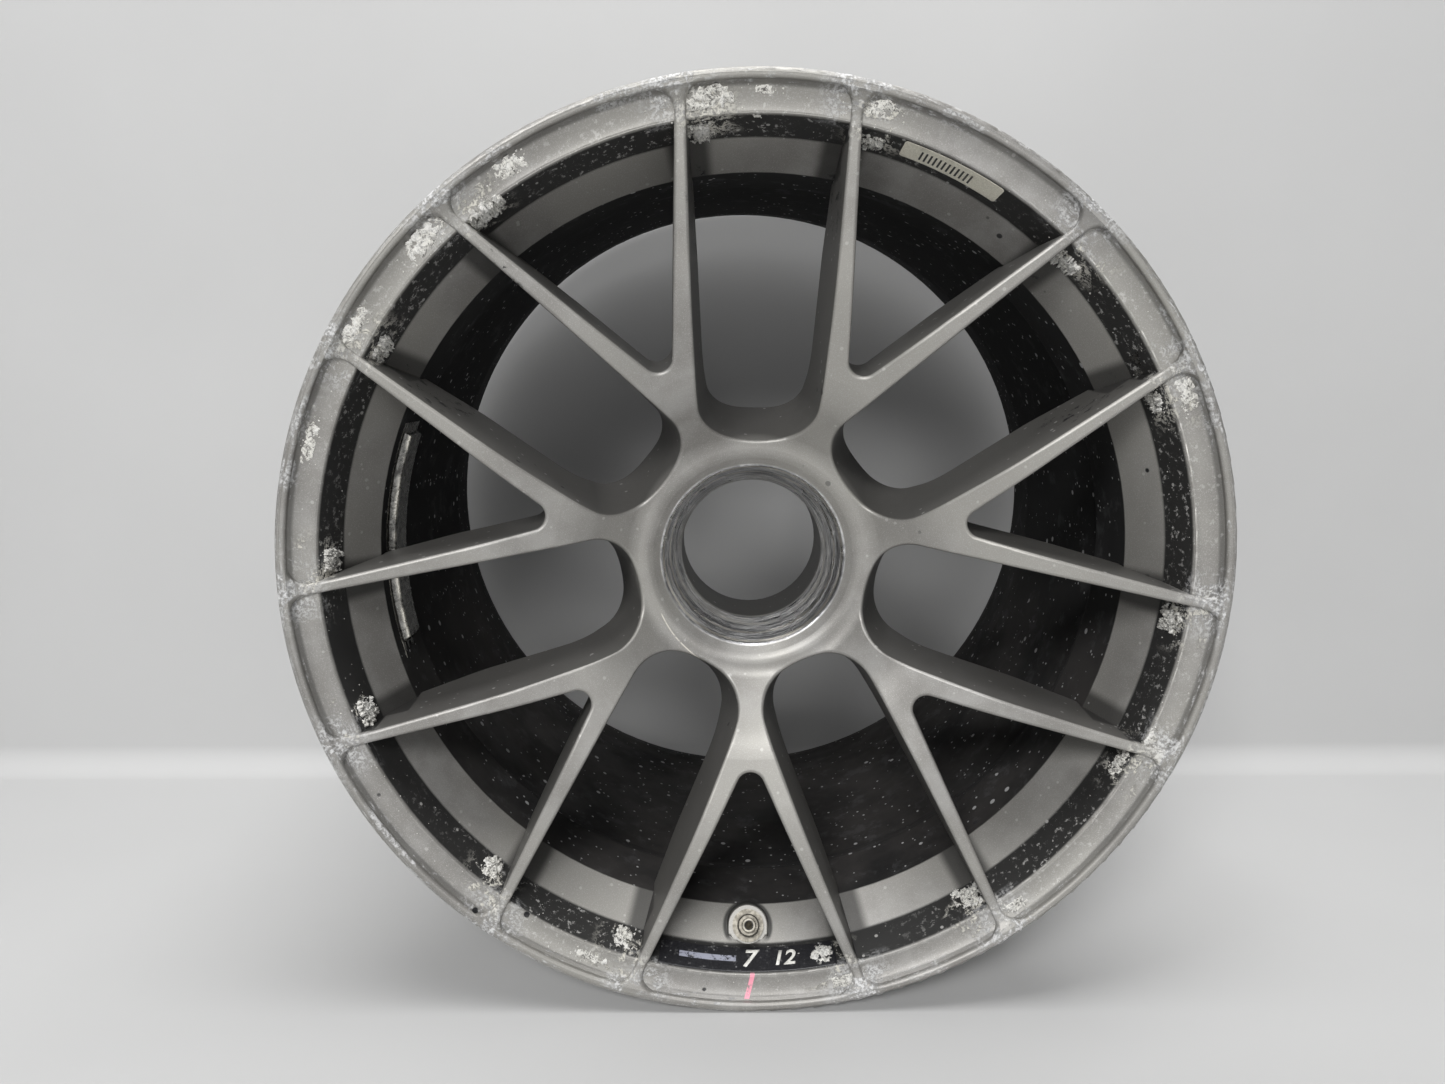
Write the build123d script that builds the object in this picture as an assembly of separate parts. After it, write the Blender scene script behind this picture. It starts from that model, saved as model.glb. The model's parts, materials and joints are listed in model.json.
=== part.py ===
from build123d import *
import math
import os

# Forged centre-lock racing wheel, 18 x 11 in, standing upright.
# Frame: origin at the wheel's centre, +Y along the axle towards the car, +Z up.
# The outboard face, with the spokes' fronts, looks towards -Y.
# "Depth" below is the distance behind the outboard lip's front plane, and
# "angle" is clockwise from the top, as seen from the outboard side.

# ---------------------------------------------------------------- rim
SEAT_WIDTH = 279.4          # between the two flanges' inner faces (11 in)
SEAT_RADIUS = 218.3         # bead seat where it meets the flange (18 in rim)
SEAT_LENGTH = 24.0
SEAT_TAPER = 5.0            # degrees
FLANGE_HEIGHT = 17.7
FLANGE_THICKNESS = 10.6
FLANGE_EDGE_ROUND = 2.2
FLANGE_ROOT_ROUND = 6.0
HUMP_HEIGHT = 1.4
HUMP_LENGTH = 8.0
HUMP_FALL = 0.5             # wall behind a hump lies this far below the bead seat
HUMP_ROUND = 3.0
WALL = 5.0                  # rim wall under the bead seat and in the well
BARREL_WALL = 4.0
WELL_RADIUS = 198.4         # inner radius of the drop well
WELL_LENGTH = 40.0          # flat floor of the well
WELL_SIDE_LENGTH = 9.0
WELL_RISE_LENGTH = 24.0
WELL_ROUND = 8.0
BARREL_RADIUS = 208.5       # inner radius of the long inboard barrel
INBOARD_FLARE_LENGTH = 60.0
INBOARD_THROAT_RADIUS = 214.6
INBOARD_MOUTH_RADIUS = 216.9
INBOARD_MOUTH_LENGTH = 10.6
INBOARD_RAMP_LENGTH = 14.0

# ---------------------------------------------------------------- outboard lip
POCKET_RADIUS = 231.0       # mouth of the pockets between the spokes
POCKET_CORNER = 8.5
LIP_STEP = 2.4              # lip's flat front starts this far outside the pockets
LIP_OVERLAP = 0.8           # the centre's outer edge is this far inside the lip
BAND_DEPTH = 4.4            # flange's front wall inside the pockets
BAND_INNER_RADIUS = 216.9
BAND_ROUND = 2.0
GROOVE_DEPTH = 24.0         # where the groove meets the ramp
RAMP_DEPTH = 44.0           # where the ramp meets the well
RAMP_DROP = 12.6            # how far the ramp falls towards the axle
GROOVE_ROUND = 5.0
EDGE_ROUND = 1.6

# ---------------------------------------------------------------- hub
BORE_RADIUS = 40.0
HUB_REAR_DEPTH = 126.0
HUB_PAD_RADIUS = 73.0
PAD_STEP = 3.0
HUB_SHOULDER_RADIUS = 80.0
HUB_SHOULDER_DEPTH = 110.0
HUB_SHOULDER_ROUND = 6.0
NUT_SEAT_RADIUS = 50.0      # wide end of the wheel nut's 50 degree cone
NUT_SEAT_HALF_ANGLE = 25.0
NUT_SEAT_DEPTH = 62.2
HUB_RING_RADIUS = 57.0
HUB_FACE_DEPTH = 55.5
HUB_FACE_RADIUS = 65.0
BORE_CHAMFER_ROUND = 1.2
HUB_RING_ROUND = 8.0
HUB_FACE_ROUND = 12.0

# ---------------------------------------------------------------- spokes
SPOKES = 7
FIRST_SPOKE_ANGLE = 181.0
ELBOW_RADIUS = 94.0         # where the concave face turns from steep to shallow
ELBOW_DEPTH = 29.0
SHOULDER_RADIUS = 140.0
SHOULDER_DEPTH = 13.8
ELBOW_ROUND = 50.0
SHOULDER_ROUND = 150.0
FACE_RIM_DEPTH = 0.06       # the spokes' fronts run out just under the lip's front
SPOKE_REAR_RADIUS = 165.0
SPOKE_REAR_DEPTH = 64.0
SPOKE_REAR_ROUND = 40.0
SPOKE_FOOT_DEPTH = 50.0
SPOKE_ROOT_RADIUS = 108.0
SPOKE_ROOT_DEPTH = 71.0
SPOKE_ROOT_ROUND = 25.0
WINDOW_RELIEF = 0.2         # windows stop this far inside the rim's wall
DRAFT_DEPTH = 120.0         # the windows are drawn at depth 0 and at this depth
FACE_SLACK = 2.0            # edges this near the dished face get the edge rounding

# Wide windows between two Y spokes: half width at two radii, front and rear.
WIDE_INNER_RADIUS = 89.0
WIDE_OUTER_RADIUS = 213.0
WIDE_FRONT_HALF_WIDTHS = (33.8, 37.6)
WIDE_REAR_HALF_WIDTHS = (23.9, 34.0)
WIDE_FRONT_END = 48.6
WIDE_REAR_END = 82.0
WIDE_END_BOW = 7.0          # how far the inner end's arc bows
WIDE_FRONT_CORNER = 26.0
WIDE_REAR_CORNER = 19.0

# Narrow windows in the fork of each Y.
FORK_INNER_RADIUS = 118.0
FORK_OUTER_RADIUS = 208.0
FORK_FRONT_HALF_WIDTHS = (9.4, 52.7)
FORK_REAR_HALF_WIDTHS = (3.1, 46.4)
FORK_FRONT_TIP_ROUND = 6.8
FORK_REAR_TIP_ROUND = 10.0

# ---------------------------------------------------------------- hub drive
DRIVE_PINS = 5
DRIVE_PIN_CIRCLE = 120.0
DRIVE_BUSH_BORE = 12.0
DRIVE_BUSH_WALL = 2.0
DRIVE_BUSH_LENGTH = 22.0
DRIVE_BUSH_RECESS = 0.5

# ---------------------------------------------------------------- valve
# Heights are along the valve's own axis, from its pad towards the stem's mouth.
VALVE_ANGLE = 180.8
VALVE_DEPTH = 30.0          # centre of the pad
VALVE_RADIUS = 203.4
VALVE_TILT = 32.0           # of the valve's axis from the axle's direction
VALVE_GRIP = 14.4           # metal between the pad and the tyre side's seat
BOSS_RADIUS = 11.0
BOSS_REACH = 5.0            # how far the boss runs out towards the groove
BOSS_HEIGHT = 11.5
BOSS_DRAFT = 10.0
BOSS_ROUND = 0.8
PAD_CUT_RADIUS = 9.4
TYRE_SIDE_SEAT_RADIUS = 8.0
CUT_CLEAR = 20.0
STEM_HOLE_RADIUS = 5.75
STEM_RADIUS = 3.85
STEM_LENGTH = 13.0
STEM_HEAD_RADIUS = 7.0
STEM_HEAD_LENGTH = 3.0
STEM_CHAMFER = 0.5
THREAD_PITCH = 0.8
THREAD_DEPTH = 0.35
THREAD_RINGS = 5
AIR_PASSAGE_RADIUS = 1.3
GROMMET_THICKNESS = 2.0
SEAL_RADIUS = 7.8
SEAL_THICKNESS = 0.8
WASHER_RADIUS = 8.6
WASHER_THICKNESS = 1.2
WASHER_CLEARANCE = 0.3
NUT_RADIUS = 5.9
NUT_LENGTH = 6.0
NUT_CHAMFER = 0.7
CORE_RADIUS = 2.1
CORE_LENGTH = 7.0
CORE_RECESS = 1.6           # housing's top below the stem's mouth
CORE_BORE_RADIUS = 1.35
CORE_LEDGE = 0.8            # floor of the housing, which guides the pin
GASKET_THICKNESS = 0.35
GASKET_HEIGHT = 1.2         # above the housing's lower end
GASKET_LENGTH = 1.2
PIN_RADIUS = 0.55
PIN_CLEARANCE = 0.05
PIN_RECESS = 0.5            # pin's tip below the stem's mouth
PIN_TAIL_RADIUS = 1.1
PIN_TAIL_LENGTH = 0.5
COLLAR_CLEARANCE = 0.08
COLLAR_LENGTH = 0.8
COLLAR_RECESS = 0.4         # collar's top below the housing's top
CUP_RADIUS = 1.7
CUP_LENGTH = 1.2
SEAT_GAP = 0.05
SPRING_WIRE = 0.25
SPRING_RADIUS = 0.95
SPRING_TURNS = 6

# ---------------------------------------------------------------- stuck-on pieces
WEIGHTS = 5
WEIGHT_MIDDLE_ANGLE = 273.5
WEIGHT_STEP_ANGLE = 6.6
WEIGHT_ANGLE = 6.1
WEIGHT_WIDTH = 17.0
WEIGHT_THICKNESS = 3.2
WEIGHT_OFFSET = 11.6        # weights' near edge behind the ramp's edge
ADHESIVE_THICKNESS = 0.8
FOIL_THICKNESS = 0.25
FOIL_START_ANGLE = 254.0
FOIL_END_ANGLE = 292.0
FOIL_MARGIN = 4.0
LABEL_ANGLE = 25.0
LABEL_LENGTH = 52.0
LABEL_WIDTH = 13.0
DECAL_ANGLE = 181.0
DECAL_LENGTH = 97.0
DECAL_WIDTH = 16.0
STICKER_OFFSET = 2.2        # stickers' outer edge from the groove's outer corner
STICKER_THICKNESS = 0.2

# ---------------------------------------------------------------- derived
OVERALL_WIDTH = SEAT_WIDTH + 2 * FLANGE_THICKNESS
HALF_WIDTH = OVERALL_WIDTH / 2
FLANGE_RADIUS = SEAT_RADIUS + FLANGE_HEIGHT
SEAT_DROP = SEAT_LENGTH * math.tan(math.radians(SEAT_TAPER))
SEAT_END_RADIUS = SEAT_RADIUS - SEAT_DROP
SEAT_END = FLANGE_THICKNESS + SEAT_LENGTH
HUMP_END = SEAT_END + HUMP_LENGTH
HUMP_FOOT_RADIUS = SEAT_END_RADIUS - HUMP_FALL
WELL_END = RAMP_DEPTH + WELL_LENGTH
BARREL_START = WELL_END + WELL_RISE_LENGTH
RAMP_TOP_RADIUS = WELL_RADIUS + RAMP_DROP
NUT_SEAT_LENGTH = (NUT_SEAT_RADIUS - BORE_RADIUS) / math.tan(math.radians(NUT_SEAT_HALF_ANGLE))
PITCH = 360 / SPOKES
CENTRE_EDGE_RADIUS = POCKET_RADIUS + LIP_STEP + LIP_OVERLAP
FACE = [
    (BORE_RADIUS, NUT_SEAT_DEPTH + NUT_SEAT_LENGTH, BORE_CHAMFER_ROUND),
    (NUT_SEAT_RADIUS, NUT_SEAT_DEPTH, BORE_CHAMFER_ROUND),
    (HUB_RING_RADIUS, HUB_FACE_DEPTH, HUB_RING_ROUND),
    (HUB_FACE_RADIUS, HUB_FACE_DEPTH, HUB_FACE_ROUND),
    (ELBOW_RADIUS, ELBOW_DEPTH, ELBOW_ROUND),
    (SHOULDER_RADIUS, SHOULDER_DEPTH, SHOULDER_ROUND),
    (CENTRE_EDGE_RADIUS, FACE_RIM_DEPTH, 0),
]
TILT = math.radians(VALVE_TILT)
VALVE_PLANE = Plane(
    origin=(0, VALVE_DEPTH - HALF_WIDTH, VALVE_RADIUS),
    x_dir=(1, 0, 0),
    z_dir=(0, -math.cos(TILT), -math.sin(TILT)),
)
NUT_SEAT_HEIGHT = SEAL_THICKNESS + WASHER_THICKNESS
CORE_TOP = STEM_LENGTH - CORE_RECESS
CORE_BOTTOM = CORE_TOP - CORE_LENGTH
SPRING_FOOT = CORE_BOTTOM + CORE_LEDGE
COLLAR_TOP = CORE_TOP - COLLAR_RECESS
CUP_TOP = CORE_BOTTOM - SEAT_GAP
WEIGHT_INNER_RADIUS = WELL_RADIUS - ADHESIVE_THICKNESS - WEIGHT_THICKNESS
WEIGHT_DEPTH = RAMP_DEPTH + WEIGHT_OFFSET
WEIGHT_SPAN = (WEIGHTS - 1) * WEIGHT_STEP_ANGLE + WEIGHT_ANGLE


def profile_point(radius, depth):
    """A point of a turned profile: radius from the axle, depth behind the outboard lip."""
    return (radius, depth - HALF_WIDTH)


def turned(corners):
    """Turn a closed profile about the axle. Each corner is (radius, depth, rounding)."""
    points = [profile_point(radius, depth) for radius, depth, _ in corners]
    roundings = [rounding for _, _, rounding in corners]
    outline = FilletPolyline(*points, radius=roundings, close=True)
    return revolve(make_face(outline), axis=Axis.Y)


def face_plane(depth):
    """The plane square to the axle at a depth, with the wheel's X and Z as its axes."""
    return Plane(origin=(0, depth - HALF_WIDTH, 0), x_dir=(1, 0, 0), z_dir=(0, -1, 0))


def around(shape, angle):
    """Turn a shape made at the top of the wheel clockwise to an angle."""
    return Rot(0, angle, 0) * shape


def make_rim():
    """The tyre side from the outboard lip inwards, then the inner side back out."""
    return turned([
        (POCKET_RADIUS + LIP_STEP, 0, 0),
        (FLANGE_RADIUS, 0, FLANGE_EDGE_ROUND),
        (FLANGE_RADIUS, FLANGE_THICKNESS, FLANGE_EDGE_ROUND),
        (SEAT_RADIUS, FLANGE_THICKNESS, FLANGE_ROOT_ROUND),
        (SEAT_END_RADIUS, SEAT_END, EDGE_ROUND),
        (SEAT_END_RADIUS + HUMP_HEIGHT, SEAT_END + HUMP_LENGTH / 2, HUMP_ROUND),
        (HUMP_FOOT_RADIUS, HUMP_END, HUMP_ROUND),
        (WELL_RADIUS + WALL, HUMP_END + WELL_SIDE_LENGTH, WELL_ROUND),
        (WELL_RADIUS + WALL, WELL_END, WELL_ROUND),
        (BARREL_RADIUS + BARREL_WALL, BARREL_START, WELL_ROUND),
        (BARREL_RADIUS + BARREL_WALL, OVERALL_WIDTH - HUMP_END - INBOARD_RAMP_LENGTH, WELL_ROUND),
        (HUMP_FOOT_RADIUS, OVERALL_WIDTH - HUMP_END, HUMP_ROUND),
        (SEAT_END_RADIUS + HUMP_HEIGHT, OVERALL_WIDTH - SEAT_END - HUMP_LENGTH / 2, HUMP_ROUND),
        (SEAT_END_RADIUS, OVERALL_WIDTH - SEAT_END, EDGE_ROUND),
        (SEAT_RADIUS, OVERALL_WIDTH - FLANGE_THICKNESS, FLANGE_ROOT_ROUND),
        (FLANGE_RADIUS, OVERALL_WIDTH - FLANGE_THICKNESS, FLANGE_EDGE_ROUND),
        (FLANGE_RADIUS, OVERALL_WIDTH, FLANGE_EDGE_ROUND),
        (INBOARD_MOUTH_RADIUS, OVERALL_WIDTH, EDGE_ROUND),
        (INBOARD_THROAT_RADIUS, OVERALL_WIDTH - INBOARD_MOUTH_LENGTH, WELL_ROUND),
        (BARREL_RADIUS, OVERALL_WIDTH - INBOARD_FLARE_LENGTH, WELL_ROUND),
        (BARREL_RADIUS, BARREL_START, WELL_ROUND),
        (WELL_RADIUS, WELL_END, WELL_ROUND),
        (WELL_RADIUS, RAMP_DEPTH, EDGE_ROUND),
        (RAMP_TOP_RADIUS, GROOVE_DEPTH, GROOVE_ROUND),
        (BAND_INNER_RADIUS, BAND_DEPTH, EDGE_ROUND),
        (POCKET_RADIUS - BAND_ROUND, BAND_DEPTH, BAND_ROUND),
        (POCKET_RADIUS + LIP_STEP, BAND_DEPTH - BAND_ROUND, 0),
    ])


def make_centre_blank():
    """The turned centre before its windows are cut: hub, dished face and hub pad.
    Its outer edge runs inside the rim's wall."""
    buried = WALL / 2
    return turned([
        (BORE_RADIUS, HUB_REAR_DEPTH, BORE_CHAMFER_ROUND),
        *FACE,
        (CENTRE_EDGE_RADIUS, BAND_DEPTH + buried, 0),
        (BAND_INNER_RADIUS + buried, BAND_DEPTH + buried, 0),
        (RAMP_TOP_RADIUS + buried, GROOVE_DEPTH, 0),
        (WELL_RADIUS + buried, RAMP_DEPTH, 0),
        (WELL_RADIUS + buried, SPOKE_FOOT_DEPTH, 0),
        (SPOKE_REAR_RADIUS, SPOKE_REAR_DEPTH, SPOKE_REAR_ROUND),
        (SPOKE_ROOT_RADIUS, SPOKE_ROOT_DEPTH, SPOKE_ROOT_ROUND),
        (HUB_SHOULDER_RADIUS, HUB_SHOULDER_DEPTH, HUB_SHOULDER_ROUND),
        (HUB_PAD_RADIUS + PAD_STEP, HUB_REAR_DEPTH - PAD_STEP, 0),
        (HUB_PAD_RADIUS, HUB_REAR_DEPTH, 0),
    ])


def make_window_region():
    """Everything that a window may remove: all in front of the rim's inner wall,
    and all of the centre inside the well."""
    far = 2 * OVERALL_WIDTH
    return turned([
        (BORE_RADIUS / 2, -far, 0),
        (FLANGE_RADIUS, -far, 0),
        (FLANGE_RADIUS, BAND_DEPTH + WINDOW_RELIEF, 0),
        (BAND_INNER_RADIUS + WINDOW_RELIEF, BAND_DEPTH + WINDOW_RELIEF, 0),
        (RAMP_TOP_RADIUS + WINDOW_RELIEF, GROOVE_DEPTH + WINDOW_RELIEF, 0),
        (WELL_RADIUS + WINDOW_RELIEF, RAMP_DEPTH + WINDOW_RELIEF, 0),
        (WELL_RADIUS + WINDOW_RELIEF, far, 0),
        (BORE_RADIUS / 2, far, 0),
    ])


def side_line(inner_radius, outer_radius, half_widths):
    """The slope of a window's side, and its half width where it would reach the axle."""
    slope = (half_widths[1] - half_widths[0]) / (outer_radius - inner_radius)
    return slope, half_widths[0] - slope * inner_radius


def circle_crossing(slope, offset, radius):
    """Where a window's side crosses a circle about the axle: (half width, height)."""
    a = 1 + slope ** 2
    b = 2 * slope * offset
    c = offset ** 2 - radius ** 2
    height = (-b + math.sqrt(b * b - 4 * a * c)) / (2 * a)
    return slope * height + offset, height


def wide_outline(half_widths, end, corner):
    """One section of a wide window at the top of the wheel, drawn in the XY plane."""
    slope, offset = side_line(WIDE_INNER_RADIUS, WIDE_OUTER_RADIUS, half_widths)
    top_x, top_y = circle_crossing(slope, offset, POCKET_RADIUS)
    low_y = end + WIDE_END_BOW
    low_x = slope * low_y + offset
    edges = [
        Line((-low_x, low_y), (-top_x, top_y)),
        ThreePointArc((-top_x, top_y), (0, POCKET_RADIUS), (top_x, top_y)),
        Line((top_x, top_y), (low_x, low_y)),
        ThreePointArc((low_x, low_y), (0, end), (-low_x, low_y)),
    ]
    face = make_face(edges)
    face = fillet(face.vertices().group_by(Axis.Y)[-1], POCKET_CORNER)
    return fillet(face.vertices().group_by(Axis.Y)[0], corner)


def fork_outline(half_widths, tip_round):
    """One section of a fork's narrow window at the top of the wheel, in the XY plane."""
    slope, offset = side_line(FORK_INNER_RADIUS, FORK_OUTER_RADIUS, half_widths)
    top_x, top_y = circle_crossing(slope, offset, POCKET_RADIUS)
    tip_y = -offset / slope
    edges = [
        Line((0, tip_y), (-top_x, top_y)),
        ThreePointArc((-top_x, top_y), (0, POCKET_RADIUS), (top_x, top_y)),
        Line((top_x, top_y), (0, tip_y)),
    ]
    face = make_face(edges)
    face = fillet(face.vertices().group_by(Axis.Y)[-1], POCKET_CORNER)
    return fillet(face.vertices().group_by(Axis.Y)[0], tip_round)


def window_cutter(front, rear):
    """A drafted window: its outline at the outboard lip lofted to the one at DRAFT_DEPTH."""
    return loft([face_plane(0) * front, face_plane(DRAFT_DEPTH) * rear], ruled=True)


def make_windows():
    """Cutters for the wide windows between the spokes and the narrow ones in their forks."""
    region = make_window_region()
    wide = region & window_cutter(
        wide_outline(WIDE_FRONT_HALF_WIDTHS, WIDE_FRONT_END, WIDE_FRONT_CORNER),
        wide_outline(WIDE_REAR_HALF_WIDTHS, WIDE_REAR_END, WIDE_REAR_CORNER),
    )
    fork = region & window_cutter(
        fork_outline(FORK_FRONT_HALF_WIDTHS, FORK_FRONT_TIP_ROUND),
        fork_outline(FORK_REAR_HALF_WIDTHS, FORK_REAR_TIP_ROUND),
    )
    spoke_angles = [FIRST_SPOKE_ANGLE + k * PITCH for k in range(SPOKES)]
    wides = [around(wide, angle + PITCH / 2) for angle in spoke_angles]
    return wides + [around(fork, angle) for angle in spoke_angles]


def lies_on_face(point):
    """Whether a point is on the dished outboard face."""
    radius = math.hypot(point.X, point.Z)
    depth = point.Y + HALF_WIDTH
    for (near, near_depth, _), (far, far_depth, _) in zip(FACE, FACE[1:]):
        if near <= radius <= far:
            share = (radius - near) / (far - near)
            face_depth = near_depth + share * (far_depth - near_depth)
            return abs(depth - face_depth) < FACE_SLACK
    return False


def disc(radius, low, high, bore=0):
    """A disc or ring about Z between two heights."""
    align = (Align.CENTER, Align.CENTER, Align.MIN)
    shape = Cylinder(radius, high - low, align=align)
    if bore:
        shape -= Cylinder(bore, high - low, align=align)
    return Pos(0, 0, low) * shape


def at_valve(shape):
    """Place a shape drawn about Z, with the valve's pad at height 0, on the valve's axis."""
    return around(VALVE_PLANE * shape, VALVE_ANGLE)


def make_boss():
    """The raised pad under the valve: round towards the axle, run out into the groove."""
    outline = Circle(BOSS_RADIUS) + Pos(0, BOSS_REACH / 2) * Rectangle(2 * BOSS_RADIUS, BOSS_REACH)
    boss = extrude(outline, -BOSS_HEIGHT, taper=-BOSS_DRAFT)
    return fillet(boss.faces().sort_by(Axis.Z)[-1].edges(), BOSS_ROUND)


def make_drive_holes():
    """Blind holes for the drive bushes, from the hub's rear face."""
    radius = DRIVE_BUSH_BORE / 2 + DRIVE_BUSH_WALL
    return drive_ring(radius, 0, DRIVE_BUSH_LENGTH + DRIVE_BUSH_RECESS)


def drive_ring(radius, start, length, bore=0):
    """One disc or ring per drive pin, from a distance inside the hub's rear face."""
    rear = Plane(origin=(0, HUB_REAR_DEPTH - HALF_WIDTH - start, 0), x_dir=(1, 0, 0), z_dir=(0, -1, 0))
    piece = rear * Pos(0, DRIVE_PIN_CIRCLE / 2) * disc(radius, 0, length, bore)
    return [around(piece, k * 360 / DRIVE_PINS) for k in range(DRIVE_PINS)]


def make_forging():
    """Rim, spokes and hub in one piece, with the valve's boss and seats and the drive holes."""
    centre = make_centre_blank() - make_windows()
    front_edges = [
        edge for edge in centre.edges()
        if edge.geom_type != GeomType.CIRCLE and all(lies_on_face(edge @ t) for t in (0, 0.5, 1))
    ]
    centre = centre.fillet(EDGE_ROUND, front_edges) - make_drive_holes()
    rim = make_rim() + at_valve(make_boss())
    valve_cuts = [
        at_valve(disc(PAD_CUT_RADIUS, 0, CUT_CLEAR)),
        at_valve(disc(STEM_HOLE_RADIUS, -CUT_CLEAR, CUT_CLEAR)),
        at_valve(disc(TYRE_SIDE_SEAT_RADIUS, -VALVE_GRIP - CUT_CLEAR, -VALVE_GRIP)),
    ]
    return (rim - valve_cuts) + (centre - valve_cuts)


def make_stem():
    head_top = -VALVE_GRIP - GROMMET_THICKNESS
    head_bottom = head_top - STEM_HEAD_LENGTH
    stem = disc(STEM_RADIUS, head_top, STEM_LENGTH)
    stem = chamfer(stem.edges().group_by(Axis.Z)[-1], STEM_CHAMFER)
    stem += disc(STEM_HEAD_RADIUS, head_bottom, head_top)
    for k in range(THREAD_RINGS):
        height = STEM_LENGTH - STEM_CHAMFER - (k + 0.5) * THREAD_PITCH
        groove = Polygon(
            (STEM_RADIUS - THREAD_DEPTH, height),
            (STEM_RADIUS + THREAD_DEPTH, height - THREAD_DEPTH),
            (STEM_RADIUS + THREAD_DEPTH, height + THREAD_DEPTH),
            align=None,
        )
        stem -= revolve(Plane.XZ * groove, axis=Axis.Z)
    stem -= disc(AIR_PASSAGE_RADIUS, head_bottom, STEM_LENGTH)
    return at_valve(stem - disc(CORE_RADIUS, 0, STEM_LENGTH))


def make_grommet():
    sleeve = disc(STEM_HOLE_RADIUS, -VALVE_GRIP, 0, STEM_RADIUS)
    return at_valve(sleeve + disc(STEM_HEAD_RADIUS, -VALVE_GRIP - GROMMET_THICKNESS, -VALVE_GRIP, STEM_RADIUS))


def make_nut():
    nut = disc(NUT_RADIUS, NUT_SEAT_HEIGHT, NUT_SEAT_HEIGHT + NUT_LENGTH, STEM_RADIUS)
    rim_edge = nut.edges().group_by(Axis.Z)[-1].sort_by(SortBy.RADIUS)[-1]
    return at_valve(chamfer(rim_edge, NUT_CHAMFER))


def make_core_housing():
    housing = disc(CORE_RADIUS, CORE_BOTTOM, CORE_TOP)
    housing -= disc(CORE_BORE_RADIUS, SPRING_FOOT, CORE_TOP)
    housing -= disc(PIN_RADIUS + PIN_CLEARANCE, CORE_BOTTOM, SPRING_FOOT)
    return at_valve(housing - gasket_ring())


def gasket_ring():
    low = CORE_BOTTOM + GASKET_HEIGHT
    return disc(CORE_RADIUS, low, low + GASKET_LENGTH, CORE_RADIUS - GASKET_THICKNESS)


def make_core_pin():
    """The pin with its collar above the spring and a tail that carries the cup."""
    cup_bottom = CUP_TOP - CUP_LENGTH
    pin = disc(PIN_RADIUS, cup_bottom, STEM_LENGTH - PIN_RECESS)
    pin += disc(CORE_BORE_RADIUS - COLLAR_CLEARANCE, COLLAR_TOP - COLLAR_LENGTH, COLLAR_TOP)
    return at_valve(pin + disc(PIN_TAIL_RADIUS, cup_bottom - PIN_TAIL_LENGTH, cup_bottom))


def make_core_spring():
    height = COLLAR_TOP - COLLAR_LENGTH - SPRING_FOOT - SPRING_WIRE
    path = Helix(pitch=height / SPRING_TURNS, height=height, radius=SPRING_RADIUS)
    wire = Plane(origin=path @ 0, z_dir=path % 0) * Circle(SPRING_WIRE / 2)
    return at_valve(Pos(0, 0, SPRING_FOOT + SPRING_WIRE / 2) * sweep(wire, path=path, is_frenet=True))


def arc_strip(corners, start_angle, angle):
    """Turn a (radius, depth) profile about the axle through part of a turn."""
    outline = Polygon(*[profile_point(radius, depth) for radius, depth in corners], align=None)
    return around(revolve(outline, axis=Axis.Y, revolution_arc=angle), start_angle - 90)


def well_strip(inner_radius, outer_radius, margin, start_angle, angle):
    """A strip on the well, as wide as the weights plus a margin on both sides."""
    near = WEIGHT_DEPTH - margin
    far = WEIGHT_DEPTH + WEIGHT_WIDTH + margin
    corners = [(inner_radius, near), (inner_radius, far), (outer_radius, far), (outer_radius, near)]
    return arc_strip(corners, start_angle, angle)


def make_weight(number):
    middle = WEIGHT_MIDDLE_ANGLE + (number - (WEIGHTS - 1) / 2) * WEIGHT_STEP_ANGLE
    outer = WELL_RADIUS - ADHESIVE_THICKNESS
    return well_strip(WEIGHT_INNER_RADIUS, outer, 0, middle - WEIGHT_ANGLE / 2, WEIGHT_ANGLE)


def make_foil():
    """Foil tape down on the well all round, and stepped up over the row of weights."""
    start = WEIGHT_MIDDLE_ANGLE - WEIGHT_SPAN / 2
    skin_angle = math.degrees(FOIL_THICKNESS / WEIGHT_INNER_RADIUS)
    flat = well_strip(
        WELL_RADIUS - FOIL_THICKNESS, WELL_RADIUS, FOIL_MARGIN,
        FOIL_START_ANGLE, FOIL_END_ANGLE - FOIL_START_ANGLE,
    )
    cover = well_strip(
        WEIGHT_INNER_RADIUS - FOIL_THICKNESS, WELL_RADIUS, FOIL_THICKNESS,
        start - skin_angle, WEIGHT_SPAN + 2 * skin_angle,
    )
    return flat + cover - well_strip(WEIGHT_INNER_RADIUS, WELL_RADIUS, 0, start, WEIGHT_SPAN)


def make_sticker(angle, length, width):
    """A thin sticker on the groove, between the flange's front wall and the ramp."""
    rise = BAND_INNER_RADIUS - RAMP_TOP_RADIUS
    run = GROOVE_DEPTH - BAND_DEPTH
    slope_length = math.hypot(rise, run)
    along = (-rise / slope_length, run / slope_length)
    out = (-along[1], along[0])
    corners = [
        (
            BAND_INNER_RADIUS + distance * along[0] + height * out[0],
            BAND_DEPTH + distance * along[1] + height * out[1],
        )
        for distance, height in (
            (STICKER_OFFSET, 0),
            (STICKER_OFFSET + width, 0),
            (STICKER_OFFSET + width, STICKER_THICKNESS),
            (STICKER_OFFSET, STICKER_THICKNESS),
        )
    ]
    arc = math.degrees(length / BAND_INNER_RADIUS)
    return arc_strip(corners, angle - arc / 2, arc)


def save(shape, node):
    export_step(shape, f"parts/{node}.step")


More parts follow.
